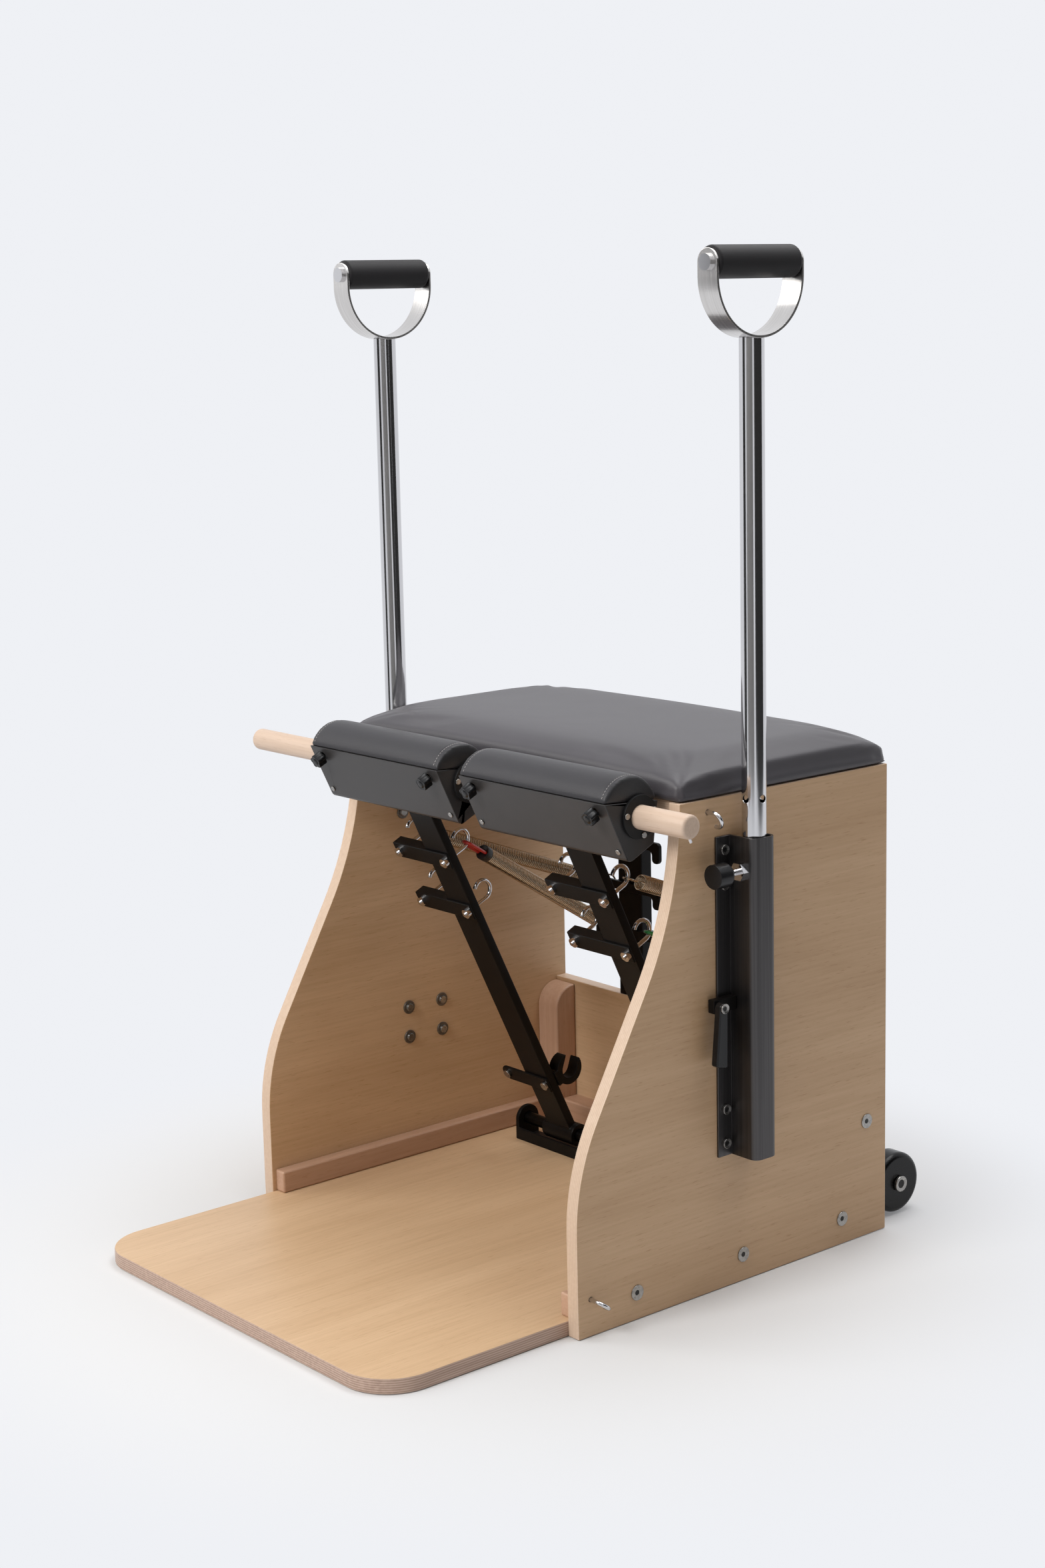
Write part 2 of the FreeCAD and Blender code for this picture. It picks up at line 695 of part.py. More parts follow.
keep(fuse(shaft, *caps), "pivot_shaft")

# Poles with cross holes, and on each a bent strap that holds a hand grip.
strap_top = v.pole_top + v.grip_rise + v.strap_width / 2
half_span = v.strap_span / 2
inner_round = v.strap_round - v.strap_gauge
strap_edge = rounded([
    (-half_span, strap_top, 0), (-half_span, v.pole_top, v.strap_round), (half_span, v.pole_top, v.strap_round),
    (half_span, strap_top, 0), (half_span - v.strap_gauge, strap_top, 0),
    (half_span - v.strap_gauge, v.pole_top + v.strap_gauge, inner_round),
    (v.strap_gauge - half_span, v.pole_top + v.strap_gauge, inner_round), (v.strap_gauge - half_span, strap_top, 0),
])
half_strap = v.strap_width / 2
strap_face = rounded([
    (-half_strap, v.pole_top, 0), (half_strap, v.pole_top, 0),
    (half_strap, strap_top, half_strap), (-half_strap, strap_top, half_strap),
])
grip_z = "pole_top + grip_rise"
for name, side in SIDES:
    x = "pole_x" if side > 0 else "-pole_x"
    tube = rod("pole_radius", "pole_top - pole_low + pole_wall", "z", x, "pole_y", "pole_low")
    saddle_cut = rod("strap_round", "4 * pole_radius", "x", x + " - 2 * pole_radius", "pole_y", "pole_top + strap_round")
    hollow = rod("pole_radius - pole_wall", "pole_top - pole_low - 2 * pole_wall", "z", x, "pole_y", "pole_low")
    holes = []
    for step in range(-2, 2):
        z = "pin_height + %d * hole_pitch" % step
        holes.append(rod("hole_radius", "2 * pole_radius", "y", x, "pole_y - pole_radius", z))
        holes.append(rod("hole_radius", "2 * pole_radius", "x", x + " - pole_radius", "pole_y", z))
    keep(cut(tube, saddle_cut, hollow, *holes), "pole_" + name)

    bent = place(plate("YZ_Plane", strap_edge, "strap_width"), x + " - strap_width / 2", "pole_y")
    face = place(plate("XZ_Plane", strap_face, "strap_span"), x, "pole_y + strap_span / 2")
    strap = doc.addObject("Part::Common", "strap")
    strap.Base = bent
    strap.Tool = face
    cross = rod("grip_bolt + hole_play", "strap_span", "y", x, "pole_y - strap_span / 2", grip_z)
    keep(cut(strap, cross), "grip_strap_" + name)

    bar = rod("grip_radius", "strap_span - 2 * strap_gauge - 2 * grip_end", "y",
              x, "pole_y - strap_span / 2 + strap_gauge + grip_end", grip_z)
    bore = rod("grip_bolt + hole_play", "strap_span", "y", x, "pole_y - strap_span / 2", grip_z)
    keep(cut(bar, bore), "hand_grip_" + name)

    grip_screws = []
    for head_y, shank_y in (("pole_y - strap_span / 2 - grip_head_height", "pole_y - strap_span / 2"),
                            ("pole_y + strap_span / 2", "pole_y + strap_span / 2 - grip_bolt_depth")):
        head = rod("grip_head", "grip_head_height", "y", x, head_y, grip_z)
        shank = rod("grip_bolt", "grip_bolt_depth", "y", x, shank_y, grip_z)
        grip_screws.append(fuse(head, shank))
    keep(group(grip_screws), "grip_screws_" + name)


# Pedals. Each piece is built on an upright arm with the pivot at its origin, then leaned back to rest.
def on_arm(item, x):
    item.Placement.Rotation = FreeCAD.Rotation(Vector(1, 0, 0), v.arm_lean)
    item.setExpression("Placement.Rotation.Angle", bound("arm_lean"))
    return place(item, x, "pivot_y", "pivot_height")


def arm_hook(x, up):
    """An open hook: a shank through the arm or bracket, a ring that rises behind it, and a nut in front."""
    front = -v.arm_depth / 2 - v.bracket_gauge - v.hook_nut_height
    start = Vector(x, front - v.hook_wire, up)
    turn = Vector(x, v.hook_back, up)

    def on_hook(degrees):
        angle = math.radians(degrees)
        return turn + Vector(0, v.hook_bend * math.sin(angle), v.hook_bend * (1 - math.cos(angle)))

    edges = [Part.LineSegment(start, turn), Part.Arc(turn, on_hook(55), on_hook(110)),
             Part.Arc(on_hook(110), on_hook(170), on_hook(230))]
    wire = bent_wire(edges, v.hook_wire, start, Vector(0, 1, 0))
    nut = Part.makeCylinder(v.hook_nut, v.hook_nut_height, Vector(x, front, up), Vector(0, 1, 0))
    return feature(wire.fuse(nut).removeSplitter())


bracket_front = "-arm_depth / 2 - bracket_gauge"
box_edge = rounded([
    (-v.box_front, v.box_low, v.box_round), (v.arm_depth / 2, v.box_low, 0),
    (v.box_back, v.box_back_top, 0), (-v.box_front, v.box_top, 0),
])
# Inside of the folded box: its front, foot and back set in by the wall, and open to the pad.
back_run = Vector(v.box_back - v.arm_depth / 2, v.box_back_top - v.box_low, 0).normalize()
back_inset = Vector(v.arm_depth / 2, v.box_low, 0) + Vector(-back_run.y, back_run.x, 0) * v.box_wall


def inner_back(up):
    return back_inset.x + back_run.x / back_run.y * (up - back_inset.y)


inner_low = v.box_low + v.box_wall
inner_high = v.box_top + v.box_front
inner_edge = rounded([
    (v.box_wall - v.box_front, inner_low, v.box_round - v.box_wall), (inner_back(inner_low), inner_low, 0),
    (inner_back(inner_high), inner_high, 0), (v.box_wall - v.box_front, inner_high, 0),
])
pad_run = Vector(0, v.box_back + v.box_front, v.box_back_top - v.box_top)
pad_length = pad_run.Length
pad_along = Vector(pad_run).normalize()
pad_up = Vector(0, -pad_along.z, pad_along.y)


def pad_section(x, inset, crown):
    """Across the pedal's top: a flat foot, short sides and an arched top."""
    origin = Vector(x, -v.box_front, v.box_top) + pad_up * v.soft_gap
    low_front = origin + pad_along * inset
    low_back = origin + pad_along * (pad_length - inset)
    high_front = low_front + pad_up * v.pad_side
    high_back = low_back + pad_up * v.pad_side
    crest = origin + pad_along * (pad_length / 2) + pad_up * (v.pad_side + crown)
    return Part.Wire([
        Part.LineSegment(low_front, low_back).toShape(),
        Part.LineSegment(low_back, high_back).toShape(),
        Part.Arc(high_back, crest, high_front).toShape(),
        Part.LineSegment(high_front, low_front).toShape(),
    ])


collar_screw_angles = (145, 255, 350)
for name, side in SIDES:
    pedal_x = "pedal_offset" if side > 0 else "-pedal_offset"

    # Arm: a rectangular tube welded to a hub on the shaft.
    tube = box("arm_width", "arm_depth", "box_low", "-arm_width / 2", "-arm_depth / 2", "0")
    hub = rod("hub_radius", "hub_width", "x", "-hub_width / 2", "0", "0")
    bore = rod("shaft_radius + shaft_play", "hub_width", "x", "-hub_width / 2", "0", "0")
    hollow = box("arm_width - 2 * arm_wall", "arm_depth - 2 * arm_wall", "box_low - hub_radius - arm_wall",
                 "arm_wall - arm_width / 2", "arm_wall - arm_depth / 2", "hub_radius + arm_wall")
    holes = [rod("hook_wire + hole_play", "arm_depth", "y", "hook_in", "-arm_depth / 2", z)
             for z in ("hook_high", "hook_low")]
    holes.append(rod("bolt_radius + hole_play", "arm_depth", "y", "hook_in", "-arm_depth / 2", "saddle_up"))
    keep(on_arm(cut(fuse(tube, hub), bore, hollow, *holes), pedal_x), "pedal_arm_" + name)

    # Brackets: two angles for the hooks, a round-ended strip and a notched saddle lower down.
    brackets = []
    for up in ("hook_high", "hook_low"):
        web = box("bracket_reach + arm_width / 2", "bracket_gauge", "bracket_height",
                  "-bracket_reach", bracket_front, up + " - bracket_height / 2")
        lip = box("bracket_reach - arm_width / 2", "arm_depth", "bracket_gauge",
                  "-bracket_reach", "-arm_depth / 2", up + " + bracket_height / 2 - bracket_gauge")
        holes = [rod("hook_wire + hole_play", "bracket_gauge", "y", x, bracket_front, up)
                 for x in ("hook_in", "-bracket_end")]
        brackets.append(cut(fuse(web, lip), *holes))
    half_height = v.bracket_height / 2
    strip_edge = rounded([
        (-v.saddle_reach, -half_height, half_height), (v.arm_width / 2, -half_height, 0),
        (v.arm_width / 2, half_height, 0), (-v.saddle_reach, half_height, half_height),
    ])
    strip_hole = v.bolt_radius + v.hole_play
    strip_holes = [(v.hook_in, 0, strip_hole), (half_height - v.saddle_reach, 0, strip_hole)]
    strip = plate("XZ_Plane", strip_edge, "bracket_gauge", strip_holes)
    brackets.append(place(strip, "0", "-arm_depth / 2", "saddle_up"))
    saddle_x = "hook_in - saddle_width / 2"
    ring = rod("saddle_outer", "saddle_width", "x", saddle_x, "saddle_back", "saddle_up")
    neck = box("saddle_width", "saddle_back - arm_depth / 2", "saddle_outer", saddle_x, "arm_depth / 2",
               "saddle_up - saddle_outer / 2")
    notch = rod("saddle_inner", "saddle_width", "x", saddle_x, "saddle_back", "saddle_up")
    mouth = box("saddle_width", "2 * saddle_outer", "2 * saddle_inner", "0", "0", "0")
    mouth.Placement.Rotation = FreeCAD.Rotation(Vector(1, 0, 0), 45)
    place(mouth, saddle_x, "saddle_back + saddle_inner * sqrt(0.5)", "saddle_up - saddle_inner * sqrt(0.5)")
    bolt_hole = rod("bolt_radius + hole_play", "saddle_back - arm_depth / 2", "y", "hook_in", "arm_depth / 2", "saddle_up")
    brackets.append(cut(fuse(ring, neck), notch, mouth, bolt_hole))
    keep(on_arm(group(brackets), pedal_x), "arm_brackets_" + name)

    hooks = [arm_hook(x, up) for x in (v.hook_in, -v.bracket_end) for up in (v.hook_high, v.hook_low)]
    keep(on_arm(group(hooks), pedal_x), "arm_hooks_" + name)

    # Pedal box: folded sheet with end plates, bored for the dowel collars.
    shell = place(plate("YZ_Plane", box_edge, "pedal_width"), "-pedal_width / 2")
    inside = place(plate("YZ_Plane", inner_edge, "pedal_width - 2 * box_wall"), "box_wall - pedal_width / 2")
    holes = [rod("collar_neck + hole_play", "pedal_width", "x", "-pedal_width / 2", "0", "dowel_up")]
    collars = []
    knobs = []
    screws = []
    for end in (-1, 1):
        end_x = "pedal_width / 2"
        bush = [across(end, "collar_radius", end_x, end_x + " + collar_flange", "0", "dowel_up"),
                across(end, "collar_neck", end_x + " - collar_depth", end_x, "0", "dowel_up")]
        bores = [across(end, "dowel_radius + dowel_play", end_x + " - collar_depth", end_x + " + collar_flange",
                        "0", "dowel_up")]
        for degrees in collar_screw_angles:
            y = "collar_screw_ring * cos(%d)" % degrees
            z = "dowel_up + collar_screw_ring * sin(%d)" % degrees
            bores.append(across(end, "small_screw + hole_play", end_x, end_x + " + collar_flange", y, z))
            holes.append(across(end, "small_screw + hole_play", end_x + " - box_wall", end_x, y, z))
            shank = across(end, "small_screw", end_x + " + collar_flange - small_screw_depth", end_x + " + collar_flange",
                           y, z)
            head = across(end, "small_head", end_x + " + collar_flange",
                          end_x + " + collar_flange + small_head_height", y, z)
            screws.append(fuse(shank, head))
        collars.append(cut(fuse(*bush), *bores))

        knob_x = "%d * (pedal_width / 2 - knob_set)" % end
        holes.append(rod("stud_radius + hole_play", "box_wall", "y", knob_x, "-box_front", "knob_up"))
        stud = rod("stud_radius", "stud_length + box_wall + stud_length", "y", knob_x, "-box_front - stud_length", "knob_up")
        head = hexagon("hand_knob_radius", "hand_knob_length", "y", knob_x,
                       "-box_front - stud_length - hand_knob_length", "knob_up")
        knobs.append(fuse(stud, head))

        screw_x = "%d * (pedal_width / 2 - plate_screw_set)" % end
        holes.append(rod("small_screw + hole_play", "box_wall", "y", screw_x, "-box_front", "plate_screw_up"))
        shank = rod("small_screw", "small_screw_depth", "y", screw_x, "-box_front", "plate_screw_up")
        head = rod("small_head", "small_head_height", "y", screw_x, "-box_front - small_head_height", "plate_screw_up")
        screws.append(fuse(shank, head))
    bolt_through = "bracket_gauge + arm_depth + saddle_outer / 3"
    for x, depth in (("hook_in", bolt_through), ("bracket_height / 2 - saddle_reach", "small_screw_depth")):
        shank = rod("bolt_radius", depth, "y", x, bracket_front, "saddle_up")
        head = rod("bolt_head", "bolt_head_height", "y", x, bracket_front + " - bolt_head_height", "saddle_up")
        screws.append(fuse(shank, head))
    keep(on_arm(cut(shell, inside, *holes), pedal_x), "pedal_box_" + name)
    keep(on_arm(group(collars), pedal_x), "end_collars_" + name)
    keep(on_arm(group(knobs), pedal_x), "hand_knobs_" + name)
    keep(on_arm(group(screws), pedal_x), "pedal_screws_" + name)

    half_pedal = v.pedal_width / 2
    pad_sections = []
    for i in range(section_count):
        share = 2 * i / (section_count - 1) - 1
        tuck = v.pad_tuck if abs(share) == 1 else 0
        pad_sections.append(pad_section(half_pedal * share, tuck / 3, v.pad_crown - tuck))
    keep(on_arm(feature(Part.makeLoft(pad_sections, True, False)), pedal_x), "pedal_pad_" + name)

# Rubber buttons on the seat board's front edge: the sprung pedals stop against them.
upper_back = "box_back * cos(arm_lean) - box_back_top * sin(arm_lean)"
lower_back = "arm_depth / 2 * cos(arm_lean) - box_low * sin(arm_lean)"
rest_y = "pivot_y + max(%s; %s) + rest_gap" % (upper_back, lower_back)
keep(group([rod("button_radius", "board_front - (%s)" % rest_y, "y", x, rest_y, "board_low + ply / 2")
            for x in ("-pedal_offset", "pedal_offset")]), "rest_buttons")

# Dowel through both pedals, with a stop pin under its right end.
pin_x = "dowel_end - stop_pin_set"
pin_low = "dowel_up - dowel_radius - stop_pin_length"
stick = rod("dowel_radius", "dowel_end - dowel_start", "x", "dowel_start", "0", "dowel_up")
pin_hole = rod("stop_pin_radius + hole_play", "dowel_radius", "z", pin_x, "0", "dowel_up - dowel_radius")
keep(on_arm(cut(stick, pin_hole), "0"), "dowel")
stop_pin = rod("stop_pin_radius", "stop_pin_length + dowel_radius", "z", pin_x, "0", pin_low)
keep(on_arm(group([stop_pin]), "0"), "dowel_pin")

# Spring rack: a post from the back panel to the seat board, with yokes whose tips point down.
yoke_in = v.yoke_half - v.yoke_tip
yoke_edge = rounded([
    (-v.yoke_half, 0, v.yoke_round), (v.yoke_half, 0, v.yoke_round), (v.yoke_half, -v.yoke_drop, v.yoke_round),
    (yoke_in, -v.yoke_drop, v.yoke_round), (yoke_in, -v.yoke_bar, v.yoke_round),
    (-yoke_in, -v.yoke_bar, v.yoke_round), (-yoke_in, -v.yoke_drop, v.yoke_round),
    (-v.yoke_half, -v.yoke_drop, v.yoke_round),
])
for name, side in SIDES:
    x = "rack_offset" if side > 0 else "-rack_offset"
    post = box("post_width", "ply", "board_low - back_top", x + " - post_width / 2", "back_face", "back_top")
    yokes = [place(plate("XZ_Plane", yoke_edge, "yoke_gauge"), x, "back_face", "yoke_top - %d * yoke_pitch" % step)
             for step in range(3)]
    keep(fuse(post, *yokes), "spring_rack_" + name)


# Springs: each runs from an arm hook to a yoke, as a link, one coiled wire and an eye.
def arc_from(start, direction, end):
    """The arc that leaves start along direction and reaches end."""
    chord = end - start
    along = Vector(chord).normalize()
    side = direction - along * direction.dot(along)
    if side.Length < 1e-9:
        return Part.LineSegment(start, end)
    half = math.tan(direction.getAngle(chord) / 2) * chord.Length / 2
    return Part.Arc(start, (start + end) * 0.5 + side.normalize() * half, end)


def biarc(start, leave, end, arrive):
    """Two tangent arcs from start along leave to end along arrive."""
    chord = end - start
    both = chord.dot(leave + arrive)
    spread = 2 * (1 - leave.dot(arrive))
    reach = (math.sqrt(both * both + spread * chord.dot(chord)) - both) / spread
    middle = (start + end + (leave - arrive) * reach) * 0.5
    joint = (middle - start - leave * reach).normalize()
    return [arc_from(start, leave, middle), arc_from(middle, joint, end)]


def coil(length):
    """A wire that leaves the axis, winds its curls and comes back to the axis, along +Z."""
    radius = v.spring_radius
    wire = v.spring_wire
    stub = 2 * wire
    lead = 1.2 * radius
    curls = int(v.spring_curls)
    climb = (length - 2 * (stub + lead)) / curls / (2 * math.pi)
    up = Vector(0, 0, 1)

    def on_helix(angle):
        return Vector(radius * math.cos(angle), radius * math.sin(angle), stub + lead + climb * angle)

    def along_helix(angle):
        return Vector(-radius * math.sin(angle), radius * math.cos(angle), climb).normalize()

    edges = [Part.LineSegment(Vector(), up * stub)]
    edges += biarc(up * stub, up, on_helix(0), along_helix(0))
    for step in range(2 * curls):
        first, last = step * math.pi, (step + 1) * math.pi
        edges += biarc(on_helix(first), along_helix(first), on_helix(last), along_helix(last))
    top = 2 * math.pi * curls
    edges += biarc(on_helix(top), along_helix(top), up * (length - stub), up)
    edges.append(Part.LineSegment(up * (length - stub), up * length))

    points = []
    for edge in edges:
        points += edge.toShape().discretize(9)[:-1]
    skip = int(4 * 8 * 0.75)
    nearest = min((points[i] - points[j]).Length for i in range(len(points)) for j in range(i + skip, len(points)))
    print("spring %.1f long, least gap between curls %.2f" % (length, nearest - 2 * wire))
    return bent_wire(edges, wire, Vector(), up)


def link(gauge, length):
    """A round-ended bar with a hole that hangs on a hook's ring, centred on the hole."""
    half = v.link_width / 2
    start = -half
    face = Part.Face(Part.Wire([edge.toShape() for edge in rounded([
        (start, -half, half), (start + length, -half, 0), (start + length, half, 0), (start, half, half),
    ])]))
    bar = face.extrude(Vector(0, 0, gauge))
    bar.translate(Vector(0, 0, -gauge / 2))
    return bar.cut(Part.makeCylinder(v.link_hole, gauge, Vector(0, 0, -gauge / 2)))


def eye():
    """A ring round the yoke's bar with a tail towards the coil, centred on the bar."""
    half = v.eye_gauge / 2
    ring = Part.makeCylinder(v.eye_outer, v.eye_gauge, Vector(0, 0, -half))
    tail = Part.makeBox(v.eye_tail, v.eye_tail_width, v.eye_gauge, Vector(-v.eye_tail, -v.eye_tail_width / 2, -half))
    hole = Part.makeCylinder(v.eye_hole, v.eye_gauge, Vector(0, 0, -half))
    return ring.fuse(tail).cut(hole).removeSplitter()


arm_angle = math.radians(v.arm_lean)
notch_middle = (v.post_width / 2 + yoke_in) / 2


def spring(side, hook_x, hook_up, yoke_side, yoke_step, node, link_node):
    """Set a spring between one arm hook and one yoke; link_node names a coloured link of its own."""
    out = v.hook_back
    up = hook_up + v.hook_bend
    hook = Vector(side * v.pedal_offset + hook_x,
                  v.pivot_y + out * math.cos(arm_angle) - up * math.sin(arm_angle),
                  v.pivot_height + out * math.sin(arm_angle) + up * math.cos(arm_angle))
    yoke = Vector(side * v.rack_offset + yoke_side * notch_middle, v.back_face - v.yoke_gauge / 2,
                  v.yoke_top - yoke_step * v.yoke_pitch - v.yoke_bar / 2)
    pull = Vector(0, yoke.y - hook.y, yoke.z - hook.z).normalize()
    hook = hook + pull * (v.hook_bend + v.link_hole - v.hook_wire - v.link_gap)
    along = (yoke - hook).normalize()
    corner = Vector(0, v.yoke_gauge / 2, -v.yoke_bar / 2)
    lean_on = corner.dot(along)
    play = math.sqrt(lean_on ** 2 - corner.dot(corner) + (v.eye_hole - v.link_gap) ** 2) - lean_on
    yoke = yoke - along * play
    level = (Vector(1, 0, 0) - along * along.x).normalize()
    above = along.cross(level)
    reach = v.link_length if link_node else v.plain_link
    coil_start = reach - v.link_width / 2
    coil_end = (yoke - hook).Length - v.eye_tail
    wound = feature(coil(coil_end - coil_start))
    wound.Placement = FreeCAD.Placement(hook + along * coil_start, FreeCAD.Rotation(level, above, along, "XYZ"))
    far_eye = feature(eye())
    far_eye.Placement = FreeCAD.Placement(yoke, FreeCAD.Rotation(along, above, -level, "XYZ"))
    near_link = feature(link(v.link_gauge, reach))
    near_link.Placement = FreeCAD.Placement(hook, FreeCAD.Rotation(along, level, above, "XYZ"))
    pieces = [wound, far_eye]
    if link_node:
        keep(near_link, link_node)
    else:
        pieces.append(near_link)
    keep(group(pieces), node)


spring(-1, v.hook_in, v.hook_high, -1, 2, "spring_left_inner", "spring_link_left")
spring(-1, -v.bracket_end, v.hook_high, -1, 1, "spring_left_outer", None)
spring(1, v.hook_in, v.hook_high, 1, 1, "spring_right_upper", None)
spring(1, v.hook_in, v.hook_low, 1, 2, "spring_right_lower", "spring_link_right")

# Transport wheels behind the back panel, just off the floor, each on a bracket and a shouldered bolt.
brackets = []
axles = []
wheel_face = "wheel_x - wheel_width / 2"
bracket_out = wheel_face + " - wheel_gap"
bracket_in = bracket_out + " - bracket_plate"
bracket_low = "wheel_z - wheel_bracket_height / 2"
head_in = "wheel_x + wheel_width / 2 + wheel_gap"
for name, side in SIDES:
    cheek = slab(side, bracket_in, bracket_out, "wheel_behind + 2 * axle_radius", "wheel_bracket_height", "back", bracket_low)
    foot = slab(side, bracket_in + " - wheel_bracket_foot", bracket_out, "bracket_plate", "wheel_bracket_height", "back",
                bracket_low)
    hole = across(side, "axle_radius + hole_play", bracket_in, bracket_out, "wheel_y", "wheel_z")
    brackets.append(cut(fuse(cheek, foot), hole))
    shank = across(side, "axle_radius", bracket_in, head_in, "wheel_y", "wheel_z")
    head = across(side, "axle_head", head_in, head_in + " + axle_head_height", "wheel_y", "wheel_z")
    nut = across(side, "axle_head", bracket_in + " - axle_head_height", bracket_in, "wheel_y", "wheel_z")
    axles.append(fuse(shank, head, nut))
    tyre = across(side, "wheel_radius", wheel_face, "wheel_x + wheel_width / 2", "wheel_y", "wheel_z")
    tread = doc.addObject("Part::Fillet", "tread")
    tread.Base = tyre
    tread.Edges = [(1, v.wheel_round, v.wheel_round), (3, v.wheel_round, v.wheel_round)]
    bore = across(side, "axle_radius + axle_play", wheel_face, "wheel_x + wheel_width / 2", "wheel_y", "wheel_z")
    keep(cut(tread, bore), "wheel_" + name)
keep(group(brackets), "wheel_brackets")
keep(group(axles), "wheel_axles")

doc.recompute()
for item in doc.Objects:
    if "Invalid" in item.State or "Error" in item.State:
        raise RuntimeError("failed: %s %s" % (item.Label, item.State))
for item in NODES:
    if item.Shape.isNull() or not item.Shape.isValid() or not item.Shape.Solids:
        raise RuntimeError("no sound shape: " + item.Label)
os.makedirs("parts", exist_ok=True)
for item in NODES:
    item.Shape.exportStep("parts/%s.step" % item.Label)
print("%d nodes" % len(NODES))
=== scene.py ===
import math
import bmesh
import bpy
from mathutils import Matrix, Vector
from mathutils.bvhtree import BVHTree


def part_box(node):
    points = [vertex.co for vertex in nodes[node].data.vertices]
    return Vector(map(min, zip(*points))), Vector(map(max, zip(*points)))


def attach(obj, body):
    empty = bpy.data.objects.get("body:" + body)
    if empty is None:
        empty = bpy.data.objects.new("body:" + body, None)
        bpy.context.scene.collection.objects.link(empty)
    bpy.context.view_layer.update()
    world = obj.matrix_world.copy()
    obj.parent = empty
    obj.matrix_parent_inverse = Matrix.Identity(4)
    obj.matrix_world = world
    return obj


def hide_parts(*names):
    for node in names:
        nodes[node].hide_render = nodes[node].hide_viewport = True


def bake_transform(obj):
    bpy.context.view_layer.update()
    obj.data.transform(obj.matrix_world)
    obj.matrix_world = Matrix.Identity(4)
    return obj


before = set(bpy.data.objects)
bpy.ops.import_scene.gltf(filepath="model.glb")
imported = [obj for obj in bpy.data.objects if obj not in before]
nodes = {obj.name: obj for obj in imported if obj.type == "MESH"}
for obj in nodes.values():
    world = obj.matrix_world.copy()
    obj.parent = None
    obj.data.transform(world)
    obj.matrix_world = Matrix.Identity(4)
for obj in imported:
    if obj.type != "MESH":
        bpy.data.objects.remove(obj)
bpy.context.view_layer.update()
scene = bpy.context.scene
bpy.ops.object.select_all(action="DESELECT")

# Studio sheet: a plain pale floor that runs into the background without a corner.
# Close to the chair it takes the shadow; further out it is the background's own shade.
def looked_at(tree):
    """1 for what the camera sees, also in a polished or clear surface, and 0 for light on its way."""
    seen = tree.nodes.new("ShaderNodeLightPath")
    found = seen.outputs["Is Camera Ray"]
    for ray in ("Is Transmission Ray", "Is Glossy Ray"):
        either = tree.nodes.new("ShaderNodeMath")
        either.operation = "MAXIMUM"
        tree.links.new(found, either.inputs[0])
        tree.links.new(seen.outputs[ray], either.inputs[1])
        found = either.outputs["Value"]
    return found


backdrop_shade = (0.863, 0.877, 0.913, 1)
shadow_reach, backdrop_from = 0.36, 0.86
bpy.ops.mesh.primitive_plane_add(size=24, location=(0, 0, -0.0006))
studio_floor = bpy.context.object
studio_floor.name = "studio_floor"
sheet_paint = bpy.data.materials.new("studio_sheet")
sheet_paint.use_nodes = True
tree = sheet_paint.node_tree
paper = tree.nodes["Principled BSDF"]
paper.inputs["Base Color"].default_value = (0.71, 0.718, 0.735, 1)
paper.inputs["Roughness"].default_value = 0.9
paper.inputs["Specular IOR Level"].default_value = 0.1
glow = tree.nodes.new("ShaderNodeEmission")
glow.inputs["Color"].default_value = backdrop_shade
place = tree.nodes.new("ShaderNodeTexCoord")
reach = tree.nodes.new("ShaderNodeVectorMath")
reach.operation = "LENGTH"
tree.links.new(place.outputs["Object"], reach.inputs[0])
fade = tree.nodes.new("ShaderNodeMapRange")
fade.interpolation_type = "SMOOTHSTEP"
fade.inputs["From Min"].default_value = shadow_reach
fade.inputs["From Max"].default_value = backdrop_from
tree.links.new(reach.outputs["Value"], fade.inputs["Value"])
share = tree.nodes.new("ShaderNodeMath")
share.operation = "MULTIPLY"
tree.links.new(fade.outputs["Result"], share.inputs[0])
tree.links.new(looked_at(tree), share.inputs[1])
mix = tree.nodes.new("ShaderNodeMixShader")
tree.links.new(share.outputs["Value"], mix.inputs["Fac"])
tree.links.new(paper.outputs["BSDF"], mix.inputs[1])
tree.links.new(glow.outputs["Emission"], mix.inputs[2])
tree.links.new(mix.outputs["Shader"], tree.nodes["Material Output"].inputs["Surface"])
studio_floor.data.materials.append(sheet_paint)

# Studio air: the background shade where the camera and polished metal look, and a soft even fill elsewhere.
# Dark cards stand out of the picture, in front and to the right; they shade that side and streak the chrome.
air = bpy.data.worlds.new("studio_air")
scene.world = air
air.use_nodes = True
tree = air.node_tree
fill = tree.nodes["Background"]
fill.inputs["Color"].default_value = (1, 0.955, 0.9, 1)
fill.inputs["Strength"].default_value = 0.4
behind = tree.nodes.new("ShaderNodeBackground")
behind.inputs["Color"].default_value = backdrop_shade
mix = tree.nodes.new("ShaderNodeMixShader")
tree.links.new(looked_at(tree), mix.inputs["Fac"])
tree.links.new(fill.outputs["Background"], mix.inputs[1])
tree.links.new(behind.outputs["Background"], mix.inputs[2])
tree.links.new(mix.outputs["Shader"], tree.nodes["World Output"].inputs["Surface"])
card_distance, card_height = 2.9, 2.2
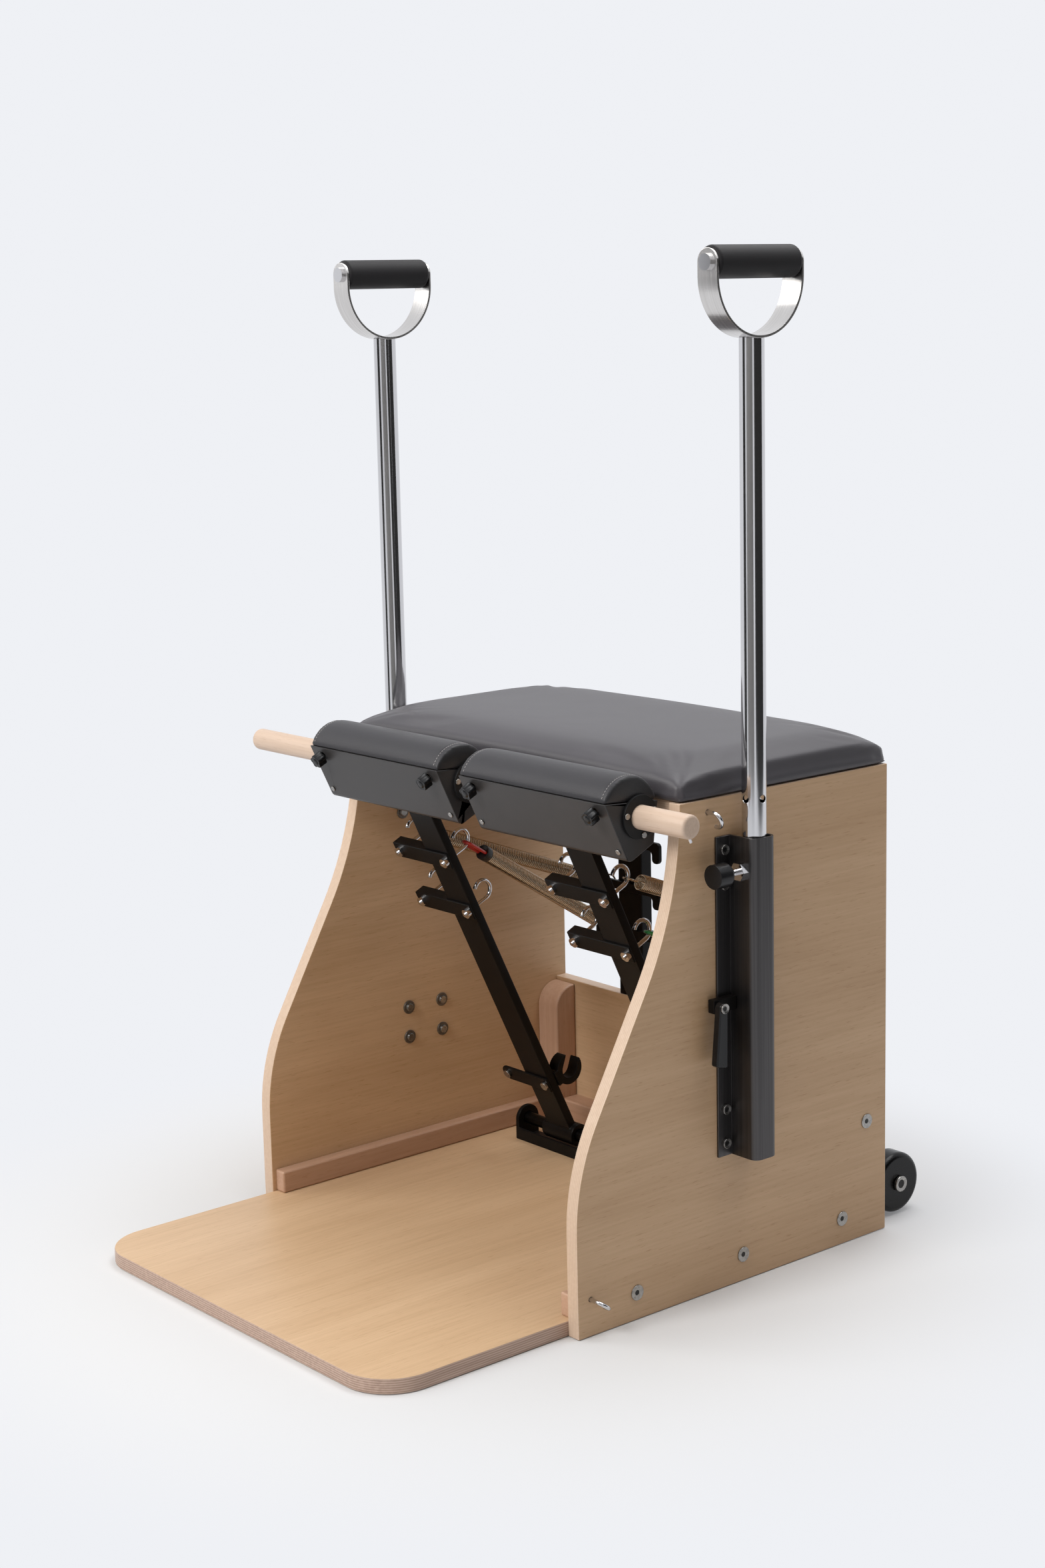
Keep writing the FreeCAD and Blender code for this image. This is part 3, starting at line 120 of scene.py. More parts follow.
for name, bearing, width, shade in (("card_left", -118, 1.5, 0.03), ("card_camera", -62, 2.9, 0.3),
                                    ("card_right", 14, 4.2, 0.025)):
    angle = math.radians(bearing)
    spot = (card_distance * math.cos(angle), card_distance * math.sin(angle), card_height / 2)
    bpy.ops.mesh.primitive_plane_add(size=1, location=spot, rotation=(math.pi / 2, 0, angle + math.pi / 2))
    card = bpy.context.object
    card.name = name
    card.scale = (width, card_height, 1)
    bpy.ops.object.transform_apply(location=True, rotation=True, scale=True)
    card_felt = bpy.data.materials.new(name + "_felt")
    card_felt.use_nodes = True
    felt = card_felt.node_tree.nodes["Principled BSDF"]
    felt.inputs["Base Color"].default_value = (shade, shade, shade, 1)
    felt.inputs["Roughness"].default_value = 1
    card.data.materials.append(card_felt)
    card.visible_camera = False

# Lamps: a broad soft box up to the left, a smaller one high in front and one overhead behind.
# Each is turned to the chair, and the first two are a little warm.
def soft_box(name, spot, aim, size, watts, tint):
    lamp = bpy.data.lights.new(name, "AREA")
    lamp.shape = "RECTANGLE"
    lamp.size, lamp.size_y = size
    lamp.energy = watts
    lamp.color = tint
    holder = bpy.data.objects.new(name, lamp)
    scene.collection.objects.link(holder)
    holder.location = spot
    holder.rotation_euler = (Vector(aim) - Vector(spot)).to_track_quat("-Z", "Y").to_euler()


warm = (1, 0.985, 0.96)
soft_box("soft_box_left", (-2.2, -2.4, 2.6), (0, 0, 0.45), (2.2, 2.2), 50, warm)
soft_box("soft_box_front", (0.1, -3.0, 2.75), (0, 0.3, 0.2), (1.6, 1.4), 98, warm)
soft_box("soft_box_over", (0.3, 0.9, 3.2), (0, 0.05, 0.5), (2.6, 1.8), 58, (1, 1, 1))

# Camera: the photograph's own view, from the right in front and a little above.
# Its place, turn and lens were fitted to the panels, poles and seat.
camera = bpy.data.objects.new("camera", bpy.data.cameras.new("camera"))
scene.collection.objects.link(camera)
camera.data.sensor_width = 36
camera.data.lens = 58.09
tripod = Vector((2.2859, -1.8411, 1.1324))
look = Vector((-0.75322, 0.62999, -0.18913))
right = Vector((0.64475, 0.76406, -0.02264)).normalized()
above = right.cross(look).normalized()
camera.matrix_world = Matrix((
    (right.x, above.x, -look.x, tripod.x),
    (right.y, above.y, -look.y, tripod.y),
    (right.z, above.z, -look.z, tripod.z),
    (0, 0, 0, 1),
))
camera.data.clip_end = 60
scene.camera = camera
scene.view_settings.view_transform = "Standard"

# Side panels: 18 mm birch plywood with the veneer grain running level, cut to an S-curve in front.
# The edges are sanded round and lacquered, so the layers show only as faint lines.
def eased_copy(node, name, body, round_over, steps=2, sharp=35):
    """A copy of a CAD piece with its sharp edges rounded over."""
    piece = bpy.data.objects.new(name, nodes[node].data.copy())
    scene.collection.objects.link(piece)
    piece.data.materials.clear()
    bpy.ops.object.select_all(action="DESELECT")
    bpy.context.view_layer.objects.active = piece
    piece.select_set(True)
    bpy.ops.object.mode_set(mode="EDIT")
    bpy.ops.mesh.select_all(action="SELECT")
    bpy.ops.mesh.remove_doubles(threshold=0.000004)
    bpy.ops.mesh.dissolve_limited(angle_limit=math.radians(0.4))
    bpy.ops.object.mode_set(mode="OBJECT")
    rounding = piece.modifiers.new("rounding", "BEVEL")
    rounding.width = round_over
    rounding.segments = steps
    rounding.angle_limit = math.radians(sharp)
    rounding.use_clamp_overlap = False
    bpy.ops.object.modifier_apply(modifier="rounding")
    bpy.ops.object.shade_smooth_by_angle(angle=math.radians(32))
    even = piece.modifiers.new("even", "WEIGHTED_NORMAL")
    even.keep_sharp = True
    bpy.ops.object.modifier_apply(modifier="even")
    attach(piece, body)
    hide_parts(node)
    return piece


def shaded(tree, value, low, high, first, last):
    """A colour that runs from first to last while value runs from low to high."""
    tone = tree.nodes.new("ShaderNodeValToRGB")
    tone.color_ramp.elements[0].position = low
    tone.color_ramp.elements[1].position = high
    tone.color_ramp.elements[0].color = (*first, 1)
    tone.color_ramp.elements[1].color = (*last, 1)
    tree.links.new(value, tone.inputs["Fac"])
    return tone.outputs["Color"]


def embossed(tree, height, strength, depth):
    """A fine relief, as a normal."""
    bump = tree.nodes.new("ShaderNodeBump")
    bump.inputs["Strength"].default_value = strength
    bump.inputs["Distance"].default_value = depth
    tree.links.new(height, bump.inputs["Height"])
    return bump.outputs["Normal"]


def wood_finish(name, grain, face_shades, edge_shades, through=None, middle=0.0, layer=0.0013):
    """Lacquered wood. grain is the axis the fibres follow; through is the axis across a sheet's layers."""
    finish = bpy.data.materials.new(name)
    finish.use_nodes = True
    tree = finish.node_tree
    skin = tree.nodes["Principled BSDF"]
    skin.inputs["Roughness"].default_value = 0.42
    skin.inputs["Specular IOR Level"].default_value = 0.42
    place = tree.nodes.new("ShaderNodeTexCoord")

    def fibres(along, across, detail, swirl):
        stretch = tree.nodes.new("ShaderNodeMapping")
        stretch.inputs["Scale"].default_value = [along if axis == grain else across for axis in range(3)]
        tree.links.new(place.outputs["Object"], stretch.inputs["Vector"])
        noise = tree.nodes.new("ShaderNodeTexNoise")
        noise.inputs["Scale"].default_value = 1
        noise.inputs["Detail"].default_value = detail
        noise.inputs["Distortion"].default_value = swirl
        tree.links.new(stretch.outputs["Vector"], noise.inputs["Vector"])
        return noise.outputs["Fac"]

    def mixed(kind, factor, one, two):
        blend = tree.nodes.new("ShaderNodeMix")
        blend.data_type = "RGBA"
        blend.blend_type = kind
        if isinstance(factor, float):
            blend.inputs["Factor"].default_value = factor
        else:
            tree.links.new(factor, blend.inputs["Factor"])
        tree.links.new(one, blend.inputs["A"])
        tree.links.new(two, blend.inputs["B"])
        return blend.outputs["Result"]

    figure = fibres(1.6, 13, 5, 1.1)
    strands = fibres(9, 300, 3, 0.2)
    flecks = fibres(55, 900, 1, 0)
    shade = shaded(tree, figure, 0.3, 0.7, *face_shades)
    shade = mixed("MULTIPLY", 0.55, shade, shaded(tree, strands, 0.32, 0.62, (0.86, 0.83, 0.79), (1, 1, 1)))
    shade = mixed("MULTIPLY", 0.6, shade, shaded(tree, flecks, 0.66, 0.74, (1, 1, 1), (0.74, 0.66, 0.58)))
    if through is not None:
        split = tree.nodes.new("ShaderNodeSeparateXYZ")
        tree.links.new(place.outputs["Object"], split.inputs["Vector"])
        layers = tree.nodes.new("ShaderNodeMath")
        layers.operation = "MULTIPLY_ADD"
        layers.inputs[1].default_value = math.pi / layer
        layers.inputs[2].default_value = -middle * math.pi / layer
        tree.links.new(split.outputs[through], layers.inputs[0])
        stripe = tree.nodes.new("ShaderNodeMath")
        stripe.operation = "COSINE"
        tree.links.new(layers.outputs["Value"], stripe.inputs[0])
        uneven = tree.nodes.new("ShaderNodeMath")
        uneven.operation = "MULTIPLY_ADD"
        uneven.inputs[1].default_value = 0.32
        tree.links.new(stripe.outputs["Value"], uneven.inputs[0])
        tree.links.new(fibres(18, 240, 2, 0), uneven.inputs[2])
        edge = shaded(tree, uneven.outputs["Value"], 0.2, 0.8, *edge_shades)
        facing = tree.nodes.new("ShaderNodeSeparateXYZ")
        tree.links.new(place.outputs["Normal"], facing.inputs["Vector"])
        flat = tree.nodes.new("ShaderNodeMath")
        flat.operation = "ABSOLUTE"
        tree.links.new(facing.outputs[through], flat.inputs[0])
        on_face = tree.nodes.new("ShaderNodeMath")
        on_face.operation = "GREATER_THAN"
        on_face.inputs[1].default_value = 0.8
        tree.links.new(flat.outputs["Value"], on_face.inputs[0])
        shade = mixed("MIX", on_face.outputs["Value"], edge, shade)
    tree.links.new(shade, skin.inputs["Base Color"])
    tree.links.new(embossed(tree, strands, 0.05, 0.0006), skin.inputs["Normal"])
    return finish


X, Y, Z = range(3)
veneer = ((0.6, 0.405, 0.24), (0.68, 0.475, 0.295))
lacquered_edge = ((0.6, 0.435, 0.315), (0.69, 0.53, 0.405))
# The right panel gets a darker copy of the veneer: painted shade on the side that faces away from the lamps.
painted_shade_veneer = ((0.545, 0.357, 0.208), (0.618, 0.42, 0.257))
for side, sign, leaf in (("left", -1, veneer), ("right", 1, painted_shade_veneer)):
    panel = eased_copy("side_panel_" + side, "panel_" + side, "frame", 0.0016)
    panel.data.materials.append(wood_finish("panel_birch_" + side, Y, leaf, lacquered_edge, through=X,
                                            middle=sign * 0.295))

# Footboard: the same plywood laid flat between the panels and reaching out in front, with rounded front corners.
# Its edge is bare, so the layers show plainly.
layered_edge = ((0.36, 0.245, 0.19), (0.56, 0.405, 0.325))
footboard = eased_copy("footboard", "footboard_ply", "frame", 0.0016)
footboard.data.materials.append(wood_finish("footboard_birch", Y, veneer, layered_edge, through=Z, middle=0.009))

# Back panel and seat board: sheets of the same plywood that tie the two sides together, low down behind and under the
# cushion. Their grain runs from side to side.
back_board = eased_copy("back_panel", "back_board", "frame", 0.0016)
back_board.data.materials.append(wood_finish("back_birch", X, veneer, lacquered_edge, through=Y, middle=0.372))
under_seat = eased_copy("seat_board", "under_seat_board", "frame", 0.0012)
under_seat.data.materials.append(wood_finish("seat_board_birch", X, veneer, lacquered_edge, through=Z, middle=0.571))

# Corner strips: solid beech, redder than the sheets, with soft edges. Those along the floor and in the back corners are
# held by screws through the panels, and one runs across behind.
beech = ((0.47, 0.285, 0.19), (0.58, 0.375, 0.265))
for node, name, grain in (("floor_rails", "floor_strips", Y), ("back_battens", "corner_posts", Z),
                          ("rear_cross_rail", "rear_strip", X)):
    strip = eased_copy(node, name, "frame", 0.0028, 3)
    strip.data.materials.append(wood_finish(name + "_beech", grain, beech, None))

# Seat cushion: foam on a board under dark grey leatherette, stapled below, so the top is full, the edges roll over
# and each corner is folded into one upright pleat.
def dulled(tree, value, low, high):
    """A roughness that runs from low to high while value runs from 0 to 1."""
    span = tree.nodes.new("ShaderNodeMapRange")
    span.inputs["To Min"].default_value = low
    span.inputs["To Max"].default_value = high
    tree.links.new(value, span.inputs["Value"])
    return span.outputs["Result"]


def leather_finish(name, shade, grain=620.0, relief=0.16, rough=(0.4, 0.52), shine=0.5):
    """Grained leatherette: small pebbles between fine creases, and a slow change of tone."""
    finish = bpy.data.materials.new(name)
    finish.use_nodes = True
    tree = finish.node_tree
    skin = tree.nodes["Principled BSDF"]
    skin.inputs["Specular IOR Level"].default_value = shine
    skin.inputs["Sheen Weight"].default_value = 0.08
    skin.inputs["Sheen Roughness"].default_value = 0.5
    place = tree.nodes.new("ShaderNodeTexCoord")
    cells = tree.nodes.new("ShaderNodeTexVoronoi")
    cells.feature = "DISTANCE_TO_EDGE"
    cells.inputs["Scale"].default_value = grain
    wander = tree.nodes.new("ShaderNodeTexNoise")
    wander.inputs["Scale"].default_value = grain * 0.6
    wander.inputs["Detail"].default_value = 2
    shift = tree.nodes.new("ShaderNodeMix")
    shift.data_type = "VECTOR"
    shift.inputs["Factor"].default_value = 0.0012
    tree.links.new(place.outputs["Object"], wander.inputs["Vector"])
    tree.links.new(place.outputs["Object"], shift.inputs["A"])
    tree.links.new(wander.outputs["Color"], shift.inputs["B"])
    tree.links.new(shift.outputs["Result"], cells.inputs["Vector"])
    pebbles = tree.nodes.new("ShaderNodeMapRange")
    pebbles.inputs["From Max"].default_value = 0.22
    tree.links.new(cells.outputs["Distance"], pebbles.inputs["Value"])
    broad = tree.nodes.new("ShaderNodeTexNoise")
    broad.inputs["Scale"].default_value = 9
    broad.inputs["Detail"].default_value = 4
    tree.links.new(place.outputs["Object"], broad.inputs["Vector"])
    tone = shaded(tree, broad.outputs["Fac"], 0.3, 0.7, [part * 0.86 for part in shade], [part * 1.1 for part in shade])
    tree.links.new(tone, skin.inputs["Base Color"])
    tree.links.new(dulled(tree, broad.outputs["Fac"], *rough), skin.inputs["Roughness"])
    tree.links.new(embossed(tree, pebbles.outputs["Result"], relief, 0.0003), skin.inputs["Normal"])
    return finish


def stuffed_copy(node, name, cell, shrink, pressure, cap, rest_height):
    """A copy of a soft CAD solid, blown up a little as cloth. Points below rest_height stay on what carries it."""
    low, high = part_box(node)
    middle = (low + high) / 2
    piece = bpy.data.objects.new(name, nodes[node].data.copy())
    scene.collection.objects.link(piece)
    piece.data.materials.clear()
    bpy.ops.object.select_all(action="DESELECT")
    bpy.context.view_layer.objects.active = piece
    piece.select_set(True)
    bpy.ops.object.mode_set(mode="EDIT")
    bpy.ops.mesh.select_all(action="SELECT")
    bpy.ops.mesh.remove_doubles(threshold=0.00002)
    bpy.ops.object.mode_set(mode="OBJECT")
    weave = piece.modifiers.new("weave", "REMESH")
    weave.mode = "VOXEL"
    weave.voxel_size = cell
    bpy.ops.object.modifier_apply(modifier="weave")
    for point in piece.data.vertices:
        for axis in (0, 1):
            half = (high[axis] - low[axis]) / 2
            point.co[axis] = middle[axis] + (point.co[axis] - middle[axis]) * (1 - shrink / half)
    start = [point.co.copy() for point in piece.data.vertices]
    held = piece.vertex_groups.new(name="held")
    held.add([i for i, co in enumerate(start) if co.z < rest_height(co)], 1.0, "REPLACE")
    cloth = piece.modifiers.new("cloth", "CLOTH")
    cloth.settings.quality = 5
    cloth.settings.mass = 0.4
    cloth.settings.tension_stiffness = 18
    cloth.settings.compression_stiffness = 18
    cloth.settings.shear_stiffness = 6
    cloth.settings.bending_stiffness = 0.6
    cloth.settings.use_pressure = True
    cloth.settings.uniform_pressure_force = pressure
    cloth.settings.effector_weights.gravity = 0
    cloth.settings.vertex_group_mass = "held"
    cloth.collision_settings.use_collision = False
    for step in range(1, 21):
        scene.frame_set(step)
    shaped = piece.evaluated_get(bpy.context.evaluated_depsgraph_get())
    moved = [point.co.copy() for point in shaped.data.vertices]
    piece.modifiers.remove(cloth)
    scene.frame_set(1)
    for point, first, last in zip(piece.data.vertices, start, moved):
        step = last - first
        point.co = first + step * min(1, cap / max(step.length, 1e-9))
    return piece


cushion_low, cushion_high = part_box("seat_cushion")
cushion_leather = leather_finish("seat_leather", (0.045, 0.0415, 0.0485))
cushion = stuffed_copy("seat_cushion", "seat_upholstery", cell=0.0055, shrink=0.0004, pressure=4, cap=0.003,
                       rest_height=lambda co: cushion_low.z + 0.004)
for point in cushion.data.vertices:
    point.co.z = max(point.co.z, cushion_low.z)
smooth = cushion.modifiers.new("smooth", "SUBSURF")
smooth.levels = smooth.render_levels = 1
bpy.context.view_layer.objects.active = cushion
bpy.ops.object.modifier_apply(modifier="smooth")
pleat_reach, pleat_half_width, pleat_depth = 0.045, 0.005, 0.0022
cushion_middle_y = 0.2


def cushion_corner(co, inset):
    """The cushion's corner nearest to co, moved in by inset both ways."""
    return Vector((math.copysign(cushion_high.x - inset, co.x),
                   cushion_low.y + inset if co.y < cushion_middle_y else cushion_high.y - inset))


for point in cushion.data.vertices:
    co = point.co
    corner = cushion_corner(co, 0.002)
    from_corner = Vector((co.x, co.y)) - corner
    away = from_corner.length
    fold = corner - cushion_corner(co, 0.05)
    across_fold = abs(from_corner.cross(fold.normalized()))
    if away < pleat_reach and co.z > cushion_low.z + 0.003:
        depth = pleat_depth * max(0, 1 - across_fold / pleat_half_width) * (1 - away / pleat_reach)
        co.x -= math.copysign(depth, co.x) * 0.7
        co.y += depth * 0.7 if co.y < cushion_middle_y else -depth * 0.7
        co.z -= depth * 0.5
bpy.ops.object.shade_smooth()
cushion.data.materials.append(cushion_leather)
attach(cushion, "frame")
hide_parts("seat_cushion")

# Pedal pads: moulded foam on the folded boxes, under the same leatherette. A strip is sewn on at each end
# with pale thread, and the cover is glued down along the front and back edges.
pad_front = Vector((0, -0.04405, 0.5876))
pad_back = Vector((0, 0.03503, 0.58197))
glued_height = 0.0045
seam_inset, seam_half_width, seam_depth = 0.0075, 0.0028, 0.0007
seam_stitches, stitch_radius, stitch_stretch, stitch_lift = 27, 0.00055, (2.6, 1, 0.8), 0.0001
pad_leather = leather_finish("pad_leather", (0.021, 0.0198, 0.0235), shine=0.36)
# The pads' sideways-facing end faces get a darker copy of the leather, as painted shade.
shaded_end_leather = leather_finish("pad_end_painted_shade", (0.014, 0.0135, 0.015))
thread = bpy.data.materials.new("pad_thread")
thread.use_nodes = True
tree = thread.node_tree
place = tree.nodes.new("ShaderNodeTexCoord")
twist = tree.nodes.new("ShaderNodeTexNoise")
twist.inputs["Scale"].default_value = 900
tree.links.new(place.outputs["Object"], twist.inputs["Vector"])
strand = shaded(tree, twist.outputs["Fac"], 0, 1, (0.2, 0.19, 0.19), (0.4, 0.385, 0.38))
tree.links.new(strand, tree.nodes["Principled BSDF"].inputs["Base Color"])
tree.nodes["Principled BSDF"].inputs["Roughness"].default_value = 0.75


def pad_floor(co):
    """The height up to which the cover is glued down, at co."""
    share = (co.y - pad_front.y) / (pad_back.y - pad_front.y)
    return pad_front.z + share * (pad_back.z - pad_front.z) + glued_height


def joined(pieces, name):
    """The pieces as one object, with all of it selected."""
    bpy.ops.object.select_all(action="DESELECT")
    for piece in pieces:
        piece.select_set(True)
    bpy.context.view_layer.objects.active = pieces[0]
    bpy.ops.object.join()
    whole = bpy.context.object
    whole.name = name
    return whole


def placed_copies(model, places):
    """Copies of one model, each with its own mesh, set at the places."""
    copies = []
    for place in places:
        copy = bpy.data.objects.new(model.name, model.data.copy())
        scene.collection.objects.link(copy)
        copy.data.transform(place)
        copies.append(copy)
    return copies


def sewn_line(name, surface, seam_x, count):
    """A row of stitches over the pad at one end, each lying on the leather."""
    tree_of_faces = BVHTree.FromObject(surface, bpy.context.evaluated_depsgraph_get())
    hub = (pad_front + pad_back) / 2 + Vector((seam_x, 0, 0))
    along = (pad_back - pad_front).normalized()
    up = Vector((1, 0, 0)).cross(along)
    places = []
    for i in range(count):
        angle = math.radians(10 + 160 * i / (count - 1))
        out = along * math.cos(angle) + up * math.sin(angle)
        spot, normal = tree_of_faces.ray_cast(hub + out * 0.09, -out)[:2]
        run = normal.cross(Vector((1, 0, 0))).normalized()
        turn = Matrix((run, normal.cross(run), normal)).transposed()
        places.append(Matrix.Translation(spot + normal * stitch_lift) @ turn.to_4x4())
    line = joined(placed_copies(stitch, places), name)
    bpy.ops.object.shade_smooth()
    line.data.materials.append(thread)
    return line


bpy.ops.mesh.primitive_uv_sphere_add(segments=8, ring_count=5, radius=stitch_radius)
stitch = bpy.context.object
bpy.ops.object.mode_set(mode="EDIT")
bpy.ops.mesh.select_all(action="SELECT")
bpy.ops.transform.resize(value=stitch_stretch)
bpy.ops.object.mode_set(mode="OBJECT")
for side in ("left", "right"):
    node = "pedal_pad_" + side
    body = "pedal_" + side
    low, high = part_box(node)
    pad = stuffed_copy(node, "pad_cover_" + side, cell=0.003, shrink=0.0006, pressure=4, cap=0.002,
                       rest_height=pad_floor)
    smooth = pad.modifiers.new("smooth", "SUBSURF")
    smooth.levels = smooth.render_levels = 1
    bpy.context.view_layer.objects.active = pad
    bpy.ops.object.modifier_apply(modifier="smooth")
    seams = (low.x + seam_inset, high.x - seam_inset)
    for point in pad.data.vertices:
        point.co.z = max(point.co.z, pad_floor(point.co) - glued_height)
        for seam_x in seams:
            dip = max(0, 1 - abs(point.co.x - seam_x) / seam_half_width)
            if point.co.z > pad_floor(point.co):
                point.co.z -= seam_depth * dip
    bpy.ops.object.select_all(action="DESELECT")
    pad.select_set(True)
    bpy.ops.object.shade_smooth()
    pad.data.materials.append(pad_leather)
    pad.data.materials.append(shaded_end_leather)
    # Painted shade: faces turned sideways take the darker leather.
    for face in pad.data.polygons:
        face.material_index = 1 if abs(face.normal.x) > 0.75 else 0
    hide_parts(node)
    for end, seam_x in zip(("inner", "outer") if side == "right" else ("outer", "inner"), seams):
        row = sewn_line("pad_seam_%s_%s" % (side, end), pad, seam_x, seam_stitches)
        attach(row, body)
    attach(pad, body)
bpy.data.objects.remove(stitch)

# Springs: oiled spring wire, its turns drawn slightly open, with a wire ring round a rack yoke behind. In front two
# have a ring on an arm hook, and two a black plug with a coloured wire clip that tells their strength.
def wire_run(points, radius):
    """A bent wire through the points, as a mesh."""
    bpy.ops.curve.primitive_bezier_curve_add()
    bend = bpy.context.object
    bend.data.splines[0].bezier_points.add(len(points) - 2)
    for knot, point in zip(bend.data.splines[0].bezier_points, points):
        knot.co = point
        knot.handle_left_type = knot.handle_right_type = "AUTO"
    bend.data.resolution_u = 4
    bend.data.bevel_depth = radius
    bend.data.bevel_resolution = 2
    bend.data.use_fill_caps = True
    bpy.ops.object.select_all(action="DESELECT")
    bend.select_set(True)
    bpy.context.view_layer.objects.active = bend
    bpy.ops.object.convert(target="MESH")
    return bpy.context.object


def metal_finish(name, dark, light, rough, streak=(60.0, 60.0, 60.0), relief=0.0):
    """Bare or plated metal; streak stretches the fine marks along one axis."""
    finish = bpy.data.materials.new(name)
    finish.use_nodes = True
    tree = finish.node_tree
    skin = tree.nodes["Principled BSDF"]
    skin.inputs["Metallic"].default_value = 1
    place = tree.nodes.new("ShaderNodeTexCoord")
    stretch = tree.nodes.new("ShaderNodeMapping")
    stretch.inputs["Scale"].default_value = streak
    tree.links.new(place.outputs["Object"], stretch.inputs["Vector"])
    marks = tree.nodes.new("ShaderNodeTexNoise")
    marks.inputs["Scale"].default_value = 1
    marks.inputs["Detail"].default_value = 5
    tree.links.new(stretch.outputs["Vector"], marks.inputs["Vector"])
    tree.links.new(shaded(tree, marks.outputs["Fac"], 0.3, 0.7, dark, light), skin.inputs["Base Color"])
    tree.links.new(dulled(tree, marks.outputs["Fac"], *rough), skin.inputs["Roughness"])
    if relief:
        tree.links.new(embossed(tree, marks.outputs["Fac"], relief, 0.0004), skin.inputs["Normal"])
    return finish


def paint_finish(name, dark, light, rough, speckle=1500.0, relief=0.1, coat=0.0, shine=0.5):
    """Paint, powder coat or moulded plastic with a fine skin."""
    finish = bpy.data.materials.new(name)
    finish.use_nodes = True
    tree = finish.node_tree
    skin = tree.nodes["Principled BSDF"]
    skin.inputs["Specular IOR Level"].default_value = shine
    skin.inputs["Coat Weight"].default_value = coat
    skin.inputs["Coat Roughness"].default_value = 0.12
    place = tree.nodes.new("ShaderNodeTexCoord")
    cloud = tree.nodes.new("ShaderNodeTexNoise")
    cloud.inputs["Scale"].default_value = 28
    cloud.inputs["Detail"].default_value = 5
    tree.links.new(place.outputs["Object"], cloud.inputs["Vector"])
    tree.links.new(shaded(tree, cloud.outputs["Fac"], 0.3, 0.72, dark, light), skin.inputs["Base Color"])
    tree.links.new(dulled(tree, cloud.outputs["Fac"], *rough), skin.inputs["Roughness"])
    grain = tree.nodes.new("ShaderNodeTexNoise")
    grain.inputs["Scale"].default_value = speckle
    grain.inputs["Detail"].default_value = 2
    tree.links.new(place.outputs["Object"], grain.inputs["Vector"])
    tree.links.new(embossed(tree, grain.outputs["Fac"], relief, 0.0003), skin.inputs["Normal"])
    return finish


spring_wire = metal_finish("spring_wire", (0.5, 0.4, 0.28), (0.64, 0.54, 0.41), (0.18, 0.28), (420.0, 420.0, 420.0))
link_shades = {"red": ((0.42, 0.012, 0.01), (0.6, 0.03, 0.022)),
               "green": ((0.01, 0.2, 0.04), (0.02, 0.33, 0.08))}
plug_black = paint_finish("plug_black", (0.008, 0.008, 0.008), (0.014, 0.014, 0.014), (0.35, 0.5))
spring_runs = (
    ("left_inner", "left", (-0.132, 0.08966, 0.4627), (-0.16777, 0.35826, 0.30005), "red"),
    ("left_outer", "left", (-0.224, 0.09074, 0.46491), (-0.16843, 0.35792, 0.3618), None),
    ("right_upper", "right", (0.164, 0.09074, 0.46491), (0.16797, 0.35791, 0.36181), None),
    ("right_lower", "right", (0.164, 0.12412, 0.39425), (0.16797, 0.35794, 0.29983), "green"),
)
coil_radius, wire_radius, pitch = 0.0088, 0.00104, 0.0027
rear_shank, rear_loop, rear_wire = 0.034, 0.0105, 0.0013
ring_shank, clip_shank, front_loop, front_wire = 0.019, 0.037, 0.0059, 0.00115
plug_radius, plug_length, plug_rim = 0.0098, 0.011, 0.0022
clip_wire, clip_tube = 0.0021, 0.0039
bpy.ops.mesh.primitive_cylinder_add(vertices=32, radius=plug_radius, depth=plug_length,
                                    location=(0, 0, -0.0017))
plug_model = bpy.context.object
bpy.ops.object.transform_apply(location=True, rotation=True, scale=True)
bpy.ops.object.mode_set(mode="EDIT")
mesh = bmesh.from_edit_mesh(plug_model.data)
for face in mesh.faces:
    face.select_set(face.normal.z < -0.9)
bmesh.update_edit_mesh(plug_model.data)
bpy.ops.mesh.inset(thickness=plug_rim)
bpy.ops.transform.translate(value=(0, 0, 0.0012))
bpy.ops.object.mode_set(mode="OBJECT")
rounding = plug_model.modifiers.new("rounding", "BEVEL")
rounding.width = 0.0012
rounding.segments = 3
bpy.ops.object.modifier_apply(modifier="rounding")
bpy.ops.object.shade_smooth_by_angle(angle=math.radians(40))
bend = [(front_loop * math.cos(math.radians(a)), 0, -clip_shank - front_loop * math.sin(math.radians(a)))
        for a in range(0, 181, 20)]
legs = [(front_loop, 0, z) for z in (-0.0045, -0.014, -0.026)]
back = [(-x, y, z) for x, y, z in reversed(legs)]
thin = wire_run(legs + bend + back, clip_wire)
thick = wire_run([(-front_loop, 0, z) for z in (-0.008, -0.009, -0.02, -0.031, -0.032)], clip_tube)
clip_model = joined([thin, thick], "clip_model")
bpy.ops.object.shade_smooth_by_angle(angle=math.radians(50))
clip_model.data.materials.clear()
